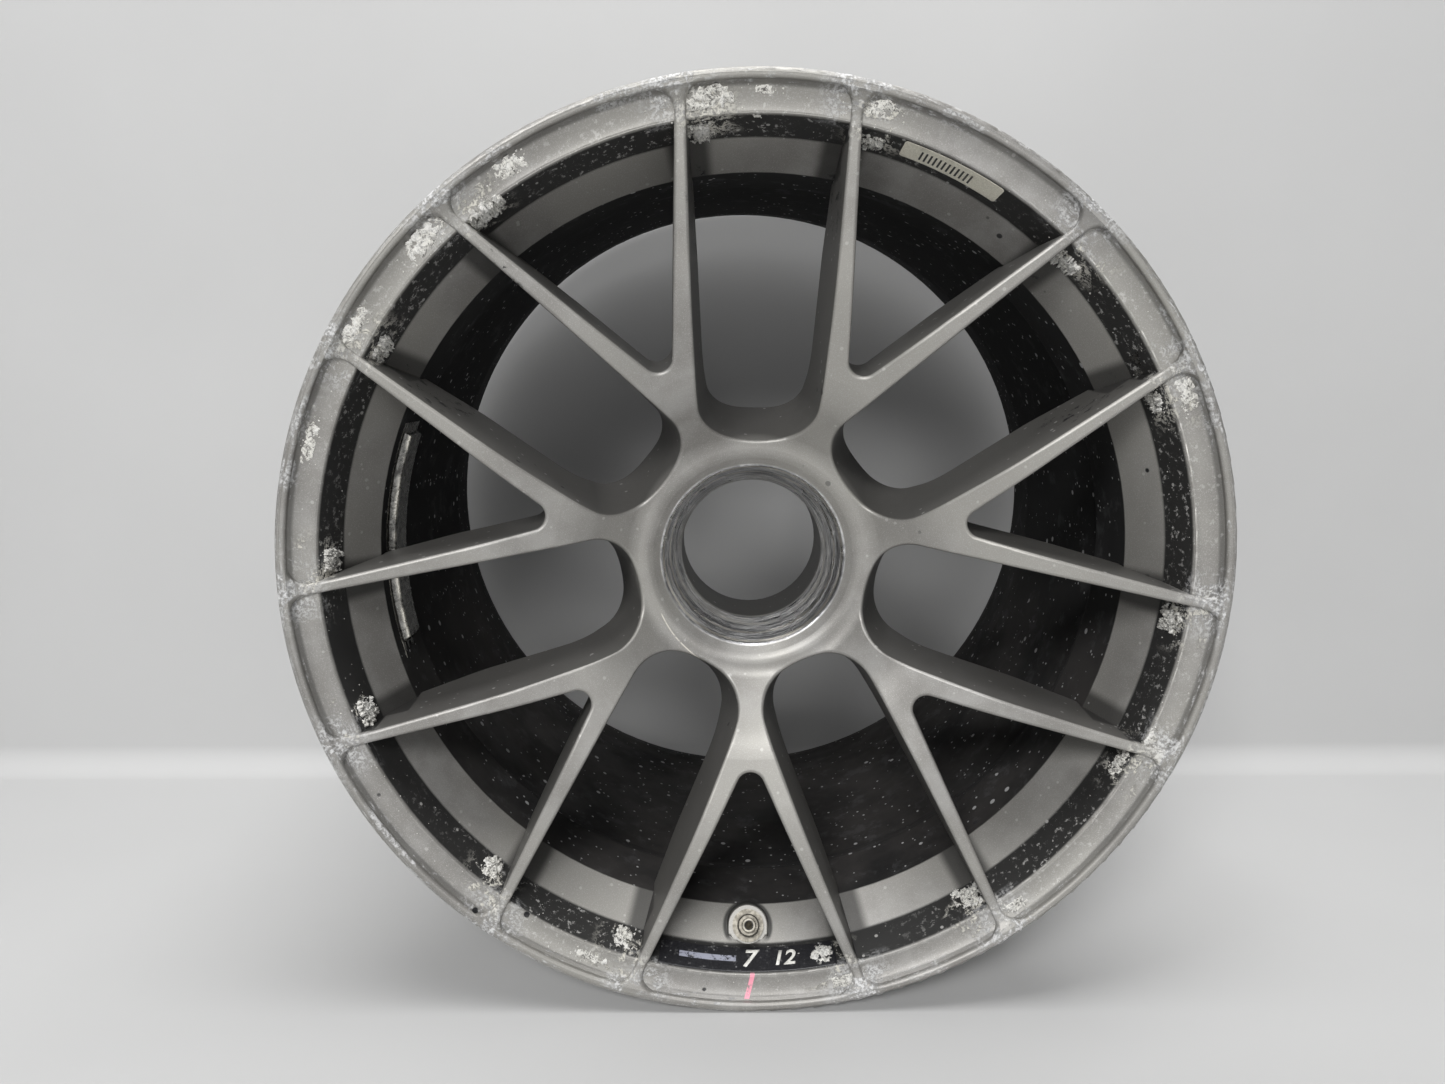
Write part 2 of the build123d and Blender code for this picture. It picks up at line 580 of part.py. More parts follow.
os.makedirs("parts", exist_ok=True)
save(make_forging(), "wheel_forging")
bushes = drive_ring(
    DRIVE_BUSH_BORE / 2 + DRIVE_BUSH_WALL, DRIVE_BUSH_RECESS, DRIVE_BUSH_LENGTH, DRIVE_BUSH_BORE / 2
)
for number, bush in enumerate(bushes):
    save(bush, f"drive_bush_{number + 1}")
save(make_stem(), "valve_stem")
save(make_grommet(), "valve_grommet")
save(at_valve(disc(SEAL_RADIUS, 0, SEAL_THICKNESS, STEM_RADIUS)), "valve_outer_seal")
washer = disc(WASHER_RADIUS, SEAL_THICKNESS, NUT_SEAT_HEIGHT, STEM_RADIUS + WASHER_CLEARANCE)
save(at_valve(washer), "valve_washer")
save(make_nut(), "valve_nut")
save(make_core_housing(), "valve_core_housing")
save(at_valve(gasket_ring()), "valve_core_gasket")
save(make_core_pin(), "valve_core_pin")
save(at_valve(disc(CUP_RADIUS, CUP_TOP - CUP_LENGTH, CUP_TOP, PIN_RADIUS)), "valve_core_cup")
save(make_core_spring(), "valve_core_spring")
for number in range(WEIGHTS):
    save(make_weight(number), f"balance_weight_{number + 1}")
adhesive_start = WEIGHT_MIDDLE_ANGLE - WEIGHT_SPAN / 2
adhesive = well_strip(WELL_RADIUS - ADHESIVE_THICKNESS, WELL_RADIUS, 0, adhesive_start, WEIGHT_SPAN)
save(adhesive, "weight_adhesive")
save(make_foil(), "weight_foil")
save(make_sticker(LABEL_ANGLE, LABEL_LENGTH, LABEL_WIDTH), "inventory_label")
save(make_sticker(DECAL_ANGLE, DECAL_LENGTH, DECAL_WIDTH), "number_decal")
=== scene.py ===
import json
import math
import random
from types import SimpleNamespace

import bmesh
import bpy
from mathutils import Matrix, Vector, noise


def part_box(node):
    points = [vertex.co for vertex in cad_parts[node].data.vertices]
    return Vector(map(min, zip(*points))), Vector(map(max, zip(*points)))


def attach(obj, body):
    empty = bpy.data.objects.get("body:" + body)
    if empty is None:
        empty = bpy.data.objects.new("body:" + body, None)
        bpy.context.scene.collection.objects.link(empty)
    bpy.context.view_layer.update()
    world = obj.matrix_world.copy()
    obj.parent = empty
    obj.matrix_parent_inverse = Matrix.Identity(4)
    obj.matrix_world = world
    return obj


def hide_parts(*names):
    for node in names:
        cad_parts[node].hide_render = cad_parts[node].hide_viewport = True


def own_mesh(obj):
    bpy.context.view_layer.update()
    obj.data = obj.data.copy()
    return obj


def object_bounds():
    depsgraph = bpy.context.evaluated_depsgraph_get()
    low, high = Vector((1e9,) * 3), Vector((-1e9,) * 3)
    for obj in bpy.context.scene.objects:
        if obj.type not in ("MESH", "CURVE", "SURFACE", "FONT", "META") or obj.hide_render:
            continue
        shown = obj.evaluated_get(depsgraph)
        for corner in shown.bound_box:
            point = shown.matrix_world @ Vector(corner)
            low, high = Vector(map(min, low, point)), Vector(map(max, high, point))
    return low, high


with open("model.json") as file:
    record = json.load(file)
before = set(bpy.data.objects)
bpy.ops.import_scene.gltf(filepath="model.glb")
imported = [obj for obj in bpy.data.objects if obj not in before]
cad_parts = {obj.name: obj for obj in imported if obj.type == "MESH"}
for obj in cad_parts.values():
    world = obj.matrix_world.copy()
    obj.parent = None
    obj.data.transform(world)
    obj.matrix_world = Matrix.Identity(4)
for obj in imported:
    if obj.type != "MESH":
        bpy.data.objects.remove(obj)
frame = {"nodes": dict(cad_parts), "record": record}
CAD_BOX = [list(corner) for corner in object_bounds()]
RECORD = frame["record"]
NODES = frame["nodes"]
MAIN_BODY = next(name for name, nodes in RECORD["behaviour"]["bodies"].items() if "wheel_forging" in nodes)

# Sizes in metres. The wheel's axle is the Y axis, and "depth" is the distance
# behind the outboard lip's front plane. Angles are in degrees, clockwise from
# the top as seen from the outboard side.
MM = 0.001
LIP_Y = CAD_BOX[0][1]
POCKET_RADIUS = 231.0 * MM
BAND_RADIUS = 216.9 * MM
BAND_DEPTH = 4.4 * MM
GROOVE_RADIUS = 211.0 * MM
GROOVE_DEPTH = 24.0 * MM
WELL_RADIUS = 198.4 * MM
FIRST_SPOKE = 181.0
SPOKES = 7
PITCH = 360.0 / SPOKES
LEG_ANGLE = 15.5
HUB_CONE_RADIUS = 51.5 * MM
WEIGHT_HEIGHT = 4.0 * MM
# Thin sheets float a little above their solids, so that the coarse facets of
# the wheel don't poke through them.
SHEET_LIFT = 0.17 * MM
SHEET_TOP = 0.28 * MM
DIGIT_LIFT = 0.30 * MM
VINYL_THICKNESS = 0.06 * MM
FOIL_THICKNESS = 0.12 * MM
VALVE_MOUTH = Vector(next(m["pos_m"] for m in RECORD["mounts"] if m["name"] == "valve_mouth"))
VALVE_JOINT = next(j for j in RECORD["behaviour"]["joints"] if j["name"] == "valve_pin_press")
VALVE_AXIS = Vector(VALVE_JOINT["axis"])


# ------------------------------------------------------------------ node helpers
class Tree:
    """A material's node tree, built with plain calls."""

    def __init__(self, name):
        self.material = bpy.data.materials.new(name)
        self.material.use_nodes = True
        self.tree = self.material.node_tree
        self.shader = self.tree.nodes["Principled BSDF"]
        self.coords = self.tree.nodes.new("ShaderNodeTexCoord").outputs["Object"]

    def put(self, socket, value):
        if isinstance(value, bpy.types.NodeSocket):
            self.tree.links.new(value, socket)
        elif value is not None:
            socket.default_value = value

    def math(self, operation, a, b=None, c=None, clamp=False):
        node = self.tree.nodes.new("ShaderNodeMath")
        node.operation = operation
        node.use_clamp = clamp
        for socket, value in zip(node.inputs, (a, b, c)):
            self.put(socket, value)
        return node.outputs[0]

    def add(self, a, b):
        return self.math("ADD", a, b)

    def size(self, value):
        return self.math("ABSOLUTE", value)

    def shift(self, base, value, amount):
        """base plus amount times value"""
        return self.math("MULTIPLY_ADD", value, amount, base)

    def times(self, *factors):
        result = factors[0]
        for factor in factors[1:]:
            result = self.math("MULTIPLY", result, factor)
        return result

    def most(self, *values):
        result = values[0]
        for value in values[1:]:
            result = self.math("MAXIMUM", result, value)
        return result

    def flip(self, value):
        return self.math("SUBTRACT", 1.0, value, clamp=True)

    def step(self, value, low, high):
        """0 below low and 1 above high, smooth between; low above high turns it round."""
        node = self.tree.nodes.new("ShaderNodeMapRange")
        node.interpolation_type = "SMOOTHSTEP"
        node.clamp = True
        falling = low > high
        self.put(node.inputs["Value"], value)
        node.inputs["From Min"].default_value = high if falling else low
        node.inputs["From Max"].default_value = low if falling else high
        node.inputs["To Min"].default_value = 1.0 if falling else 0.0
        node.inputs["To Max"].default_value = 0.0 if falling else 1.0
        return node.outputs[0]

    def window(self, value, low, high, soft):
        return self.times(self.step(value, low, low + soft), self.step(value, high, high - soft))

    def mix(self, factor, a, b):
        node = self.tree.nodes.new("ShaderNodeMix")
        node.data_type = "RGBA"
        self.put(node.inputs[0], factor)
        for socket, value in ((node.inputs[6], a), (node.inputs[7], b)):
            if isinstance(value, tuple):
                value = (*value, 1.0)
            self.put(socket, value)
        return node.outputs[2]

    def noise(self, scale, detail=3.0, roughness=0.5, vector=None, distortion=0.0):
        node = self.tree.nodes.new("ShaderNodeTexNoise")
        self.put(node.inputs["Vector"], self.coords if vector is None else vector)
        node.inputs["Scale"].default_value = scale
        node.inputs["Detail"].default_value = detail
        node.inputs["Roughness"].default_value = roughness
        node.inputs["Distortion"].default_value = distortion
        return node.outputs[0]

    def cells(self, scale):
        """(distance to the nearest seed, a random value per seed)"""
        node = self.tree.nodes.new("ShaderNodeTexVoronoi")
        self.put(node.inputs["Vector"], self.coords)
        node.inputs["Scale"].default_value = scale
        split = self.tree.nodes.new("ShaderNodeSeparateXYZ")
        self.tree.links.new(node.outputs["Color"], split.inputs[0])
        return node.outputs["Distance"], split.outputs[0]

    def specks(self, scale, size, share):
        """Small round spots: size is a spot's largest radius in cells, share how many cells have one."""
        distance, chance = self.cells(scale)
        radius = self.times(self.step(chance, 1.0 - share, 1.0), size)
        return self.step(self.math("SUBTRACT", radius, distance), 0.0, size * 0.25)

    def split(self, vector=None):
        node = self.tree.nodes.new("ShaderNodeSeparateXYZ")
        self.put(node.inputs[0], self.coords if vector is None else vector)
        return node.outputs

    def join(self, x, y, z):
        node = self.tree.nodes.new("ShaderNodeCombineXYZ")
        for socket, value in zip(node.inputs, (x, y, z)):
            self.put(socket, value)
        return node.outputs[0]

    def polar(self):
        """radius, depth and angle in degrees"""
        x, y, z = self.split()
        radius = self.math("SQRT", self.add(self.times(x, x), self.times(z, z)))
        angle = self.times(self.math("ARCTAN2", x, z), 180.0 / math.pi)
        return radius, self.add(y, -LIP_Y), angle

    def round_axle(self, radius, depth, along, across):
        """A vector whose noise runs in streaks round the axle: along and across are its two scales."""
        x, _, z = self.split()
        return self.join(
            self.times(self.math("DIVIDE", x, radius), along),
            self.times(self.math("DIVIDE", z, radius), along),
            self.times(self.add(radius, depth), across),
        )

    def from_axis(self, point, axis):
        """Distance from the line through point along the unit vector axis."""
        away = self.tree.nodes.new("ShaderNodeVectorMath")
        away.operation = "SUBTRACT"
        self.put(away.inputs[0], self.coords)
        away.inputs[1].default_value = point
        cross = self.tree.nodes.new("ShaderNodeVectorMath")
        cross.operation = "CROSS_PRODUCT"
        self.put(cross.inputs[0], away.outputs[0])
        cross.inputs[1].default_value = axis
        length = self.tree.nodes.new("ShaderNodeVectorMath")
        length.operation = "LENGTH"
        self.put(length.inputs[0], cross.outputs[0])
        return length.outputs["Value"]

    def bump(self, height, distance, strength=1.0, normal=None):
        node = self.tree.nodes.new("ShaderNodeBump")
        node.inputs["Strength"].default_value = strength
        node.inputs["Distance"].default_value = distance
        self.put(node.inputs["Height"], height)
        self.put(node.inputs["Normal"], normal)
        return node.outputs[0]

    def finish(self, color, roughness, metallic, normal):
        self.put(self.shader.inputs["Base Color"], color)
        self.put(self.shader.inputs["Roughness"], roughness)
        self.put(self.shader.inputs["Metallic"], metallic)
        self.put(self.shader.inputs["Normal"], normal)
        return self.material


# ------------------------------------------------------------------ materials
def around_spokes(t, angle):
    """Degrees past the nearest spoke's middle, from -PITCH/2 to PITCH/2."""
    turns = t.times(t.add(angle, -FIRST_SPOKE), 1.0 / PITCH)
    nearest = t.math("FLOOR", t.add(turns, 0.5))
    return t.times(t.math("SUBTRACT", turns, nearest), PITCH)


def forging_places(t):
    """Where a point of the forging lies, and masks from 0 to 1 of the places whose finish differs, some of
    them painted shade and painted light.
    """
    radius, depth, angle = t.polar()
    x, _, z = t.split()
    geometry = t.tree.nodes.new("ShaderNodeNewGeometry")
    normal_x, normal_y, normal_z = t.split(geometry.outputs["Normal"])
    outward = t.math("DIVIDE", t.add(t.times(normal_x, x), t.times(normal_z, z)), radius)
    inside = t.step(outward, 0.15, -0.15)
    past = around_spokes(t, angle)
    from_leg = t.math("SUBTRACT", t.size(past), LEG_ANGLE)
    after_leg = t.math("SUBTRACT", t.size(t.add(past, -3.0)), LEG_ANGLE)

    # The well and the barrel's inner side are black and glossy; the outer side stays satin.
    barrel = t.times(t.step(depth, 43.4 * MM, 44.4 * MM), t.step(radius, 197.2 * MM, 198.0 * MM), inside)
    # Painted light: the barrel's lower part is lighter in cloudy patches, as if lit from above.
    low_barrel_painted_light = t.times(
        barrel, t.step(z, 0.0, -90.0 * MM), t.step(t.noise(13.0, 5.0, 0.6), 0.28, 0.66)
    )
    glossy = t.times(
        barrel, t.step(z, -40.0 * MM, -120.0 * MM), t.step(t.noise(10.0, 4.0, 0.6), 0.42, 0.62)
    )
    # The groove is painted near black, for black grime and painted shade.
    groove_depths = t.window(depth, 5.0 * MM, 25.2 * MM, 1.6 * MM)
    grooves = t.times(groove_depths, inside, t.step(radius, 209.0 * MM, 210.4 * MM))

    # Painted shade: masks that darken the spokes' side walls, the ramps' ends, the pocket corner and a ring
    # round the valve boss.
    off_rim = t.most(t.step(radius, 199.0 * MM, 190.0 * MM), t.step(t.size(outward), 0.60, 0.35))
    walls = t.times(
        t.step(t.size(normal_y), 0.60, 0.30), t.step(radius, 214.0 * MM, 210.0 * MM),
        t.step(radius, 64.0 * MM, 68.0 * MM), off_rim, t.flip(barrel),
    )
    ramp_depths = t.window(depth, 23.0 * MM, 46.0 * MM, 2.0 * MM)
    on_ramp = t.times(ramp_depths, inside, t.step(radius, 196.5 * MM, 198.0 * MM))
    ramp_end_shade = t.times(on_ramp, t.step(t.size(from_leg), 3.6, 1.9))
    pocket_corner_shade = t.times(
        t.window(radius, 227.6 * MM, 232.0 * MM, 1.6 * MM), t.window(depth, 1.0 * MM, 7.0 * MM, 1.0 * MM)
    )
    off_valve = t.from_axis(VALVE_MOUTH, VALVE_AXIS)
    valve_boss_shade = t.times(
        t.window(off_valve, 10.6 * MM, 14.6 * MM, 1.6 * MM), t.step(depth, 24.0 * MM, 28.0 * MM)
    )

    # The lip, its outer edge, and the joints where the legs run into it.
    lip = t.times(t.step(radius, 227.0 * MM, 231.0 * MM), t.step(depth, 12.0 * MM, 7.0 * MM))
    # Painted highlight with wear: the lip's outer edge, painted pale as a bright rim line.
    lip_edge_wear_and_highlight = t.times(t.step(radius, 233.6 * MM, 234.8 * MM), t.step(depth, 12.0 * MM, 9.0 * MM))
    joint = t.times(
        t.step(from_leg, 6.0, 1.0), t.step(from_leg, -6.5, -1.5),
        t.step(radius, 205.0 * MM, 229.0 * MM), t.step(depth, 11.0 * MM, 8.0 * MM),
    )
    past_leg = t.times(
        t.step(after_leg, 5.0, 0.5), t.step(after_leg, -6.0, -1.0),
        t.window(radius, 209.0 * MM, 229.0 * MM, 3.0 * MM), t.step(depth, 24.0 * MM, 15.0 * MM),
    )
    upper_legs = t.times(
        t.most(t.window(past, 13.6, 17.6, 0.6), t.window(past, -17.6, -13.6, 0.6)),
        t.step(radius, 105.0 * MM, 125.0 * MM), t.step(radius, 212.0 * MM, 200.0 * MM),
        t.step(z, 0.0, 60.0 * MM),
    )

    # The nut's cone seat and the bore behind it.
    cone = t.times(
        t.step(radius, HUB_CONE_RADIUS, HUB_CONE_RADIUS - 1.2 * MM), t.step(radius, 39.9 * MM, 40.3 * MM),
        t.window(depth, 57.0 * MM, 84.5 * MM, 0.8 * MM),
    )
    bore = t.times(t.step(radius, 41.2 * MM, 40.7 * MM), t.step(depth, 84.5 * MM, 85.5 * MM))
    return SimpleNamespace(
        radius=radius, depth=depth, angle=angle, barrel=barrel, low_barrel_painted_light=low_barrel_painted_light, glossy=glossy,
        grooves=grooves, walls=walls, ramp_end_shade=ramp_end_shade, pocket_corner_shade=pocket_corner_shade, valve_boss_shade=valve_boss_shade, lip=lip,
        lip_edge_wear_and_highlight=lip_edge_wear_and_highlight, joint=joint, past_leg=past_leg, upper_legs=upper_legs, cone=cone, bore=bore,
    )


def forging_noises(t, at):
    """The textures that several of the forging's layers share."""
    streaks = t.round_axle(at.radius, at.depth, 0.2, 7.0)
    scores = t.round_axle(at.radius, at.depth, 0.032, 22.0)
    return SimpleNamespace(
        large=t.noise(9.0, 3.0, 0.55),
        mottle=t.noise(38.0, 5.0, 0.62),
        blotch=t.noise(95.0, 6.0, 0.68, distortion=0.6),
        speckle=t.noise(520.0, 5.0, 0.74),
        rings=t.noise(34.0, 5.0, 0.62, vector=streaks),
        fine_rings=t.noise(150.0, 4.0, 0.7, vector=streaks),
        score=t.noise(30.0, 6.0, 0.72, vector=scores),
        scratch=t.noise(85.0, 4.0, 0.70, vector=scores),
    )


def forging_wear(t, at, grain):
    """Masks from 0 to 1 of what has happened to the forging since it was painted; the lip edge's line among
    the scrapes is also a painted highlight.
    """
    # Scraped, chalky metal along the lip and where the legs run into it, and a pale line along the lip's
    # outer edge that is edge wear and a painted highlight.
    scrape_and_highlight = t.most(
        t.times(at.lip, t.step(grain.rings, 0.57, 0.62), t.step(grain.speckle, 0.40, 0.54), 0.8),
        t.times(at.lip, t.step(grain.fine_rings, 0.60, 0.66), 0.7),
        t.times(at.lip_edge_wear_and_highlight, t.step(grain.fine_rings, 0.50, 0.60), 0.5),
        t.times(
            at.joint, t.step(t.add(grain.blotch, t.times(grain.rings, 0.4)), 0.66, 0.72),
            t.step(grain.speckle, 0.44, 0.54),
        ),
        t.times(at.joint, t.step(grain.fine_rings, 0.50, 0.58), t.step(grain.blotch, 0.40, 0.50), 0.8),
    )

    # Baked-on crumbs and powder on the band and in the groove, most of it just past each leg.
    heaps = t.step(t.add(grain.blotch, t.times(grain.large, 0.3)), 0.66, 0.70)
    crumbs = t.times(at.past_leg, heaps, t.step(grain.speckle, 0.44, 0.52))
    powder = t.times(
        t.window(at.radius, 209.0 * MM, 230.0 * MM, 2.0 * MM), t.step(at.depth, 26.0 * MM, 22.0 * MM),
        t.step(t.noise(300.0, 6.0, 0.75), 0.57, 0.62), t.step(grain.large, 0.38, 0.6), 0.6,
    )

    # Bare metal in the nut's cone seat, polished and scored round and round.
    outer_half = t.step(at.radius, 43.0 * MM, 46.0 * MM)
    polished = t.times(at.cone, t.step(t.add(grain.score, t.times(outer_half, 0.08)), 0.40, 0.58))
    bright_rings = t.most(
        t.window(at.radius, 48.6 * MM, 50.0 * MM, 0.4 * MM),
        t.times(t.window(at.radius, 45.4 * MM, 46.6 * MM, 0.4 * MM), 0.8),
    )
    rubbed = t.times(
        at.cone,
        t.most(t.times(bright_rings, t.step(grain.scratch, 0.34, 0.52)), t.step(grain.scratch, 0.62, 0.70)),
    )

    # Chips through the paint on the legs' fronts.
    on_front = t.step(at.depth, 60.0 * MM, 55.0 * MM)
    nicks = t.times(t.specks(150.0, 0.30, 0.10), t.step(t.noise(14.0, 2.0, 0.5), 0.52, 0.62), on_front)
    flaked = t.times(
        at.upper_legs, t.step(t.noise(160.0, 7.0, 0.7), 0.57, 0.60),
        t.step(t.noise(22.0, 2.0, 0.5), 0.46, 0.54),
    )

    # One long scratch round the hub's lower left.
    scratch_radius = t.shift(58.5 * MM, t.add(at.angle, 122.0), -0.16 * MM)
    off_scratch = t.size(t.math("SUBTRACT", at.radius, t.shift(scratch_radius, grain.mottle, 1.6 * MM)))
    long_scratch = t.times(
        t.step(off_scratch, 0.45 * MM, 0.20 * MM), t.window(at.angle, -160.0, -121.0, 2.0),
        t.step(at.depth, 70.0 * MM, 66.0 * MM), t.step(grain.speckle, 0.34, 0.48), 0.9,
    )

    # A pink paint-marker stroke across the band, at the valve.
    stroke_middle = t.add(t.times(t.add(at.radius, -223.0 * MM), 55.0), -179.35)
    stroke = t.times(
        t.step(t.size(t.math("SUBTRACT", at.angle, stroke_middle)), 0.36, 0.29),
        t.window(at.radius, 216.2 * MM, 230.4 * MM, 0.5 * MM), t.step(at.depth, 9.0 * MM, 5.5 * MM),
        t.step(t.noise(420.0, 4.0, 0.6), 0.30, 0.46),
    )
    return SimpleNamespace(
        scrape_and_highlight=scrape_and_highlight, crumbs=crumbs, powder=powder, polished=polished, rubbed=rubbed,
        chips=t.most(nicks, flaked), long_scratch=long_scratch, stroke=stroke,
        dust=t.times(t.specks(240.0, 0.26, 0.22), t.flip(at.barrel), 0.55),
        spatter=t.times(at.barrel, t.most(t.specks(130.0, 0.26, 0.22), t.specks(330.0, 0.30, 0.26)), 0.8),
        smear=t.times(at.barrel, t.step(t.noise(60.0, 5.0, 0.7), 0.54, 0.66), 0.14),
    )


def forging_color(t, at, grain, wear):
    """Satin paint, a little browner in places, with a fine metal flake, all that lies over it, and painted
    shade and painted light.
    """
    flake = t.times(t.step(t.noise(2300.0, 2.0, 0.5), 0.52, 0.75), 0.45)
    color = t.mix(t.step(grain.mottle, 0.35, 0.7), (0.256, 0.247, 0.232), (0.346, 0.338, 0.324))
    color = t.mix(t.step(grain.large, 0.4, 0.62), color, (0.322, 0.313, 0.290))
    chalk = t.mix(t.step(grain.speckle, 0.42, 0.58), (0.34, 0.345, 0.355), (0.70, 0.70, 0.70))
    bare = t.mix(t.step(grain.scratch, 0.40, 0.60), (0.34, 0.34, 0.35), (0.84, 0.84, 0.85))
    layers = [
        (flake, (0.56, 0.55, 0.53)),
        # Painted shade on the spokes' side walls.
        (t.times(at.walls, 0.78), (0.050, 0.048, 0.045)),
        # Painted shade in the pocket's outer corner.
        (t.times(at.pocket_corner_shade, 0.35), (0.10, 0.098, 0.094)),
        # Painted shade at the ramps' ends beside the legs, standing in for the fillets' shade.
        (t.times(at.ramp_end_shade, 0.80), (0.030, 0.029, 0.028)),
        # Near black in the groove: black grime and painted shade.
        (t.times(at.grooves, 0.96), (0.009, 0.009, 0.009)),
        # Painted shadow in a ring round the valve boss.
        (t.times(at.valve_boss_shade, 0.85), (0.016, 0.016, 0.016)),
        (t.times(at.bore, 0.85), (0.045, 0.044, 0.043)),
        (at.barrel, (0.0060, 0.0058, 0.0060)),
        # Painted light on the barrel's lower part.
        (at.low_barrel_painted_light, (0.042, 0.038, 0.036)),
        (wear.smear, (0.20, 0.20, 0.21)),
        (wear.powder, (0.55, 0.54, 0.52)),
        (wear.dust, (0.52, 0.51, 0.49)),
        (wear.spatter, (0.60, 0.60, 0.60)),
        # Scrapes, and the painted highlight on the lip's outer edge.
        (t.times(wear.scrape_and_highlight, 0.85), chalk),
        (wear.crumbs, (0.62, 0.60, 0.54)),
        (wear.polished, bare),
        (t.times(wear.rubbed, 0.80), (0.92, 0.88, 0.79)),
        (wear.chips, (0.02, 0.02, 0.022)),
        (wear.long_scratch, (0.66, 0.63, 0.56)),
        (wear.stroke, (0.85, 0.33, 0.42)),
    ]
    for mask, shade in layers:
        color = t.mix(mask, color, shade)
    return color


def forging_material():
    t = Tree("satin_gunmetal")
    at = forging_places(t)
    grain = forging_noises(t, at)
    wear = forging_wear(t, at, grain)

    covered = t.most(t.times(wear.scrape_and_highlight, 0.5), wear.crumbs, wear.stroke, t.times(wear.powder, 0.8))
    metallic = t.times(
        t.flip(covered), t.flip(at.barrel), t.flip(at.grooves), t.flip(t.times(at.walls, 0.75)), 0.50
    )
    metallic = t.most(metallic, wear.polished)
    roughness = t.shift(0.40, grain.mottle, 0.12)
    for mask, change in (
        (t.most(wear.crumbs, wear.scrape_and_highlight), 0.30), (at.barrel, 0.42), (at.glossy, -0.42),
        (wear.polished, -0.18), (t.times(at.glossy, t.noise(70.0, 6.0, 0.65)), 0.20),
    ):
        roughness = t.shift(roughness, mask, change)

    # The band's outer part is softly dished, so it catches light from the axle's side.
    dish_start = BAND_RADIUS + 1.0 * MM
    dish = t.math("MAXIMUM", t.math("MINIMUM", at.radius, POCKET_RADIUS), dish_start)
    dish = t.add(dish, -dish_start)
    on_band = t.step(at.depth, 12.0 * MM, 8.0 * MM)
    surface = t.bump(t.times(dish, dish, 30.0, on_band), 1.0)
    surface = t.bump(t.noise(1500.0, 3.0, 0.6), 0.03 * MM, 0.7, surface)
    surface = t.bump(t.times(at.cone, t.add(grain.score, grain.scratch)), 0.4 * MM, 0.9, surface)
    surface = t.bump(t.flip(wear.chips), 0.2 * MM, 0.6, surface)
    crusty = t.times(t.most(wear.crumbs, t.times(wear.scrape_and_highlight, 0.35)), grain.speckle)
    surface = t.bump(crusty, 0.8 * MM, 0.8, surface)
    return t.finish(forging_color(t, at, grain, wear), roughness, metallic, surface)


def machined_material(name, dark, light, scale=260.0, roughness=0.34, metallic=1.0, grime=0.4, mouth=None):
    """Machined or plated metal with marks and grime; mouth is the radius of the valve's hole, painted black
    as shade, with a darker painted-shade ring round the stem.
    """
    t = Tree(name)
    marks = t.noise(scale * 4.0, 5.0, 0.6)
    tarnish = t.noise(scale, 5.0, 0.6)
    dirt = t.times(t.step(t.noise(scale * 1.7, 6.0, 0.7), 0.52, 0.68), grime)
    color = t.mix(t.step(tarnish, 0.35, 0.68), dark, light)
    color = t.mix(dirt, color, tuple(0.25 * value for value in dark))
    rough = t.shift(roughness - 0.12, t.most(marks, dirt), 0.30)
    shine = t.times(t.flip(t.times(dirt, 0.7)), metallic)
    if mouth:
        # Painted shade: a darker ring round the stem and a black mouth.
        off_axis = t.from_axis(VALVE_MOUTH, VALVE_AXIS)
        stem_ring_shade = t.window(off_axis, 5.0 * MM, 6.4 * MM, 0.5 * MM)
        color = t.mix(t.times(stem_ring_shade, 0.7), color, (0.05, 0.047, 0.042))
        mouth_shade = t.step(off_axis, mouth, mouth - 0.3 * MM)
        color = t.mix(mouth_shade, color, (0.004, 0.004, 0.004))
        shine = t.times(shine, t.flip(mouth_shade))
    return t.finish(color, rough, shine, t.bump(marks, 0.05 * MM, 0.6))


def rubber_material():
    t = Tree("black_rubber")
    grain = t.noise(1400.0, 5.0, 0.65)
    bloom = t.step(t.noise(160.0, 5.0, 0.6), 0.45, 0.75)
    color = t.mix(t.times(bloom, 0.5), (0.012, 0.012, 0.012), (0.075, 0.073, 0.070))
    return t.finish(color, t.shift(0.55, grain, 0.25), 0.0, t.bump(grain, 0.06 * MM, 0.6))


def foam_material():
    t = Tree("foam_tape")
    distance, chance = t.cells(1900.0)
    color = t.mix(t.step(distance, 0.1, 0.5), (0.42, 0.42, 0.40), (0.80, 0.79, 0.74))
    color = t.mix(t.times(t.step(t.noise(120.0, 4.0, 0.6), 0.5, 0.7), 0.4), color, (0.30, 0.29, 0.26))
    return t.finish(color, t.shift(0.8, chance, 0.1), 0.0, t.bump(distance, 0.2 * MM, 0.7))


def foil_material(edges):
    """Dull crumpled foil; edges are the depths of two painted highlight lines, at its near edge and over the
    weights' crown.
    """
    t = Tree("foil")
    _, depth, _ = t.polar()
    folds = t.noise(240.0, 7.0, 0.62, distortion=0.8)
    dirt = t.step(t.noise(110.0, 6.0, 0.7), 0.56, 0.72)
    color = t.mix(t.step(folds, 0.35, 0.7), (0.12, 0.118, 0.112), (0.30, 0.295, 0.280))
    color = t.mix(t.times(dirt, 0.75), color, (0.06, 0.058, 0.055))
    # Painted highlights: two pale lines along the foil, at its near edge and over the weights' crown.
    highlight_lines = t.most(*(t.window(depth, edge - 0.7 * MM, edge + 0.9 * MM, 0.5 * MM) for edge in edges))
    highlight_lines = t.times(highlight_lines, t.step(t.noise(46.0, 5.0, 0.65), 0.36, 0.50))
    color = t.mix(highlight_lines, color, (0.86, 0.83, 0.74))
    color = t.mix(t.times(t.specks(260.0, 0.3, 0.2), 0.6), color, (0.05, 0.05, 0.05))
    roughness = t.shift(t.shift(0.16, folds, 0.22), dirt, 0.30)
    return t.finish(color, roughness, t.flip(t.times(dirt, 0.45)), t.bump(folds, 0.7 * MM, 0.8))


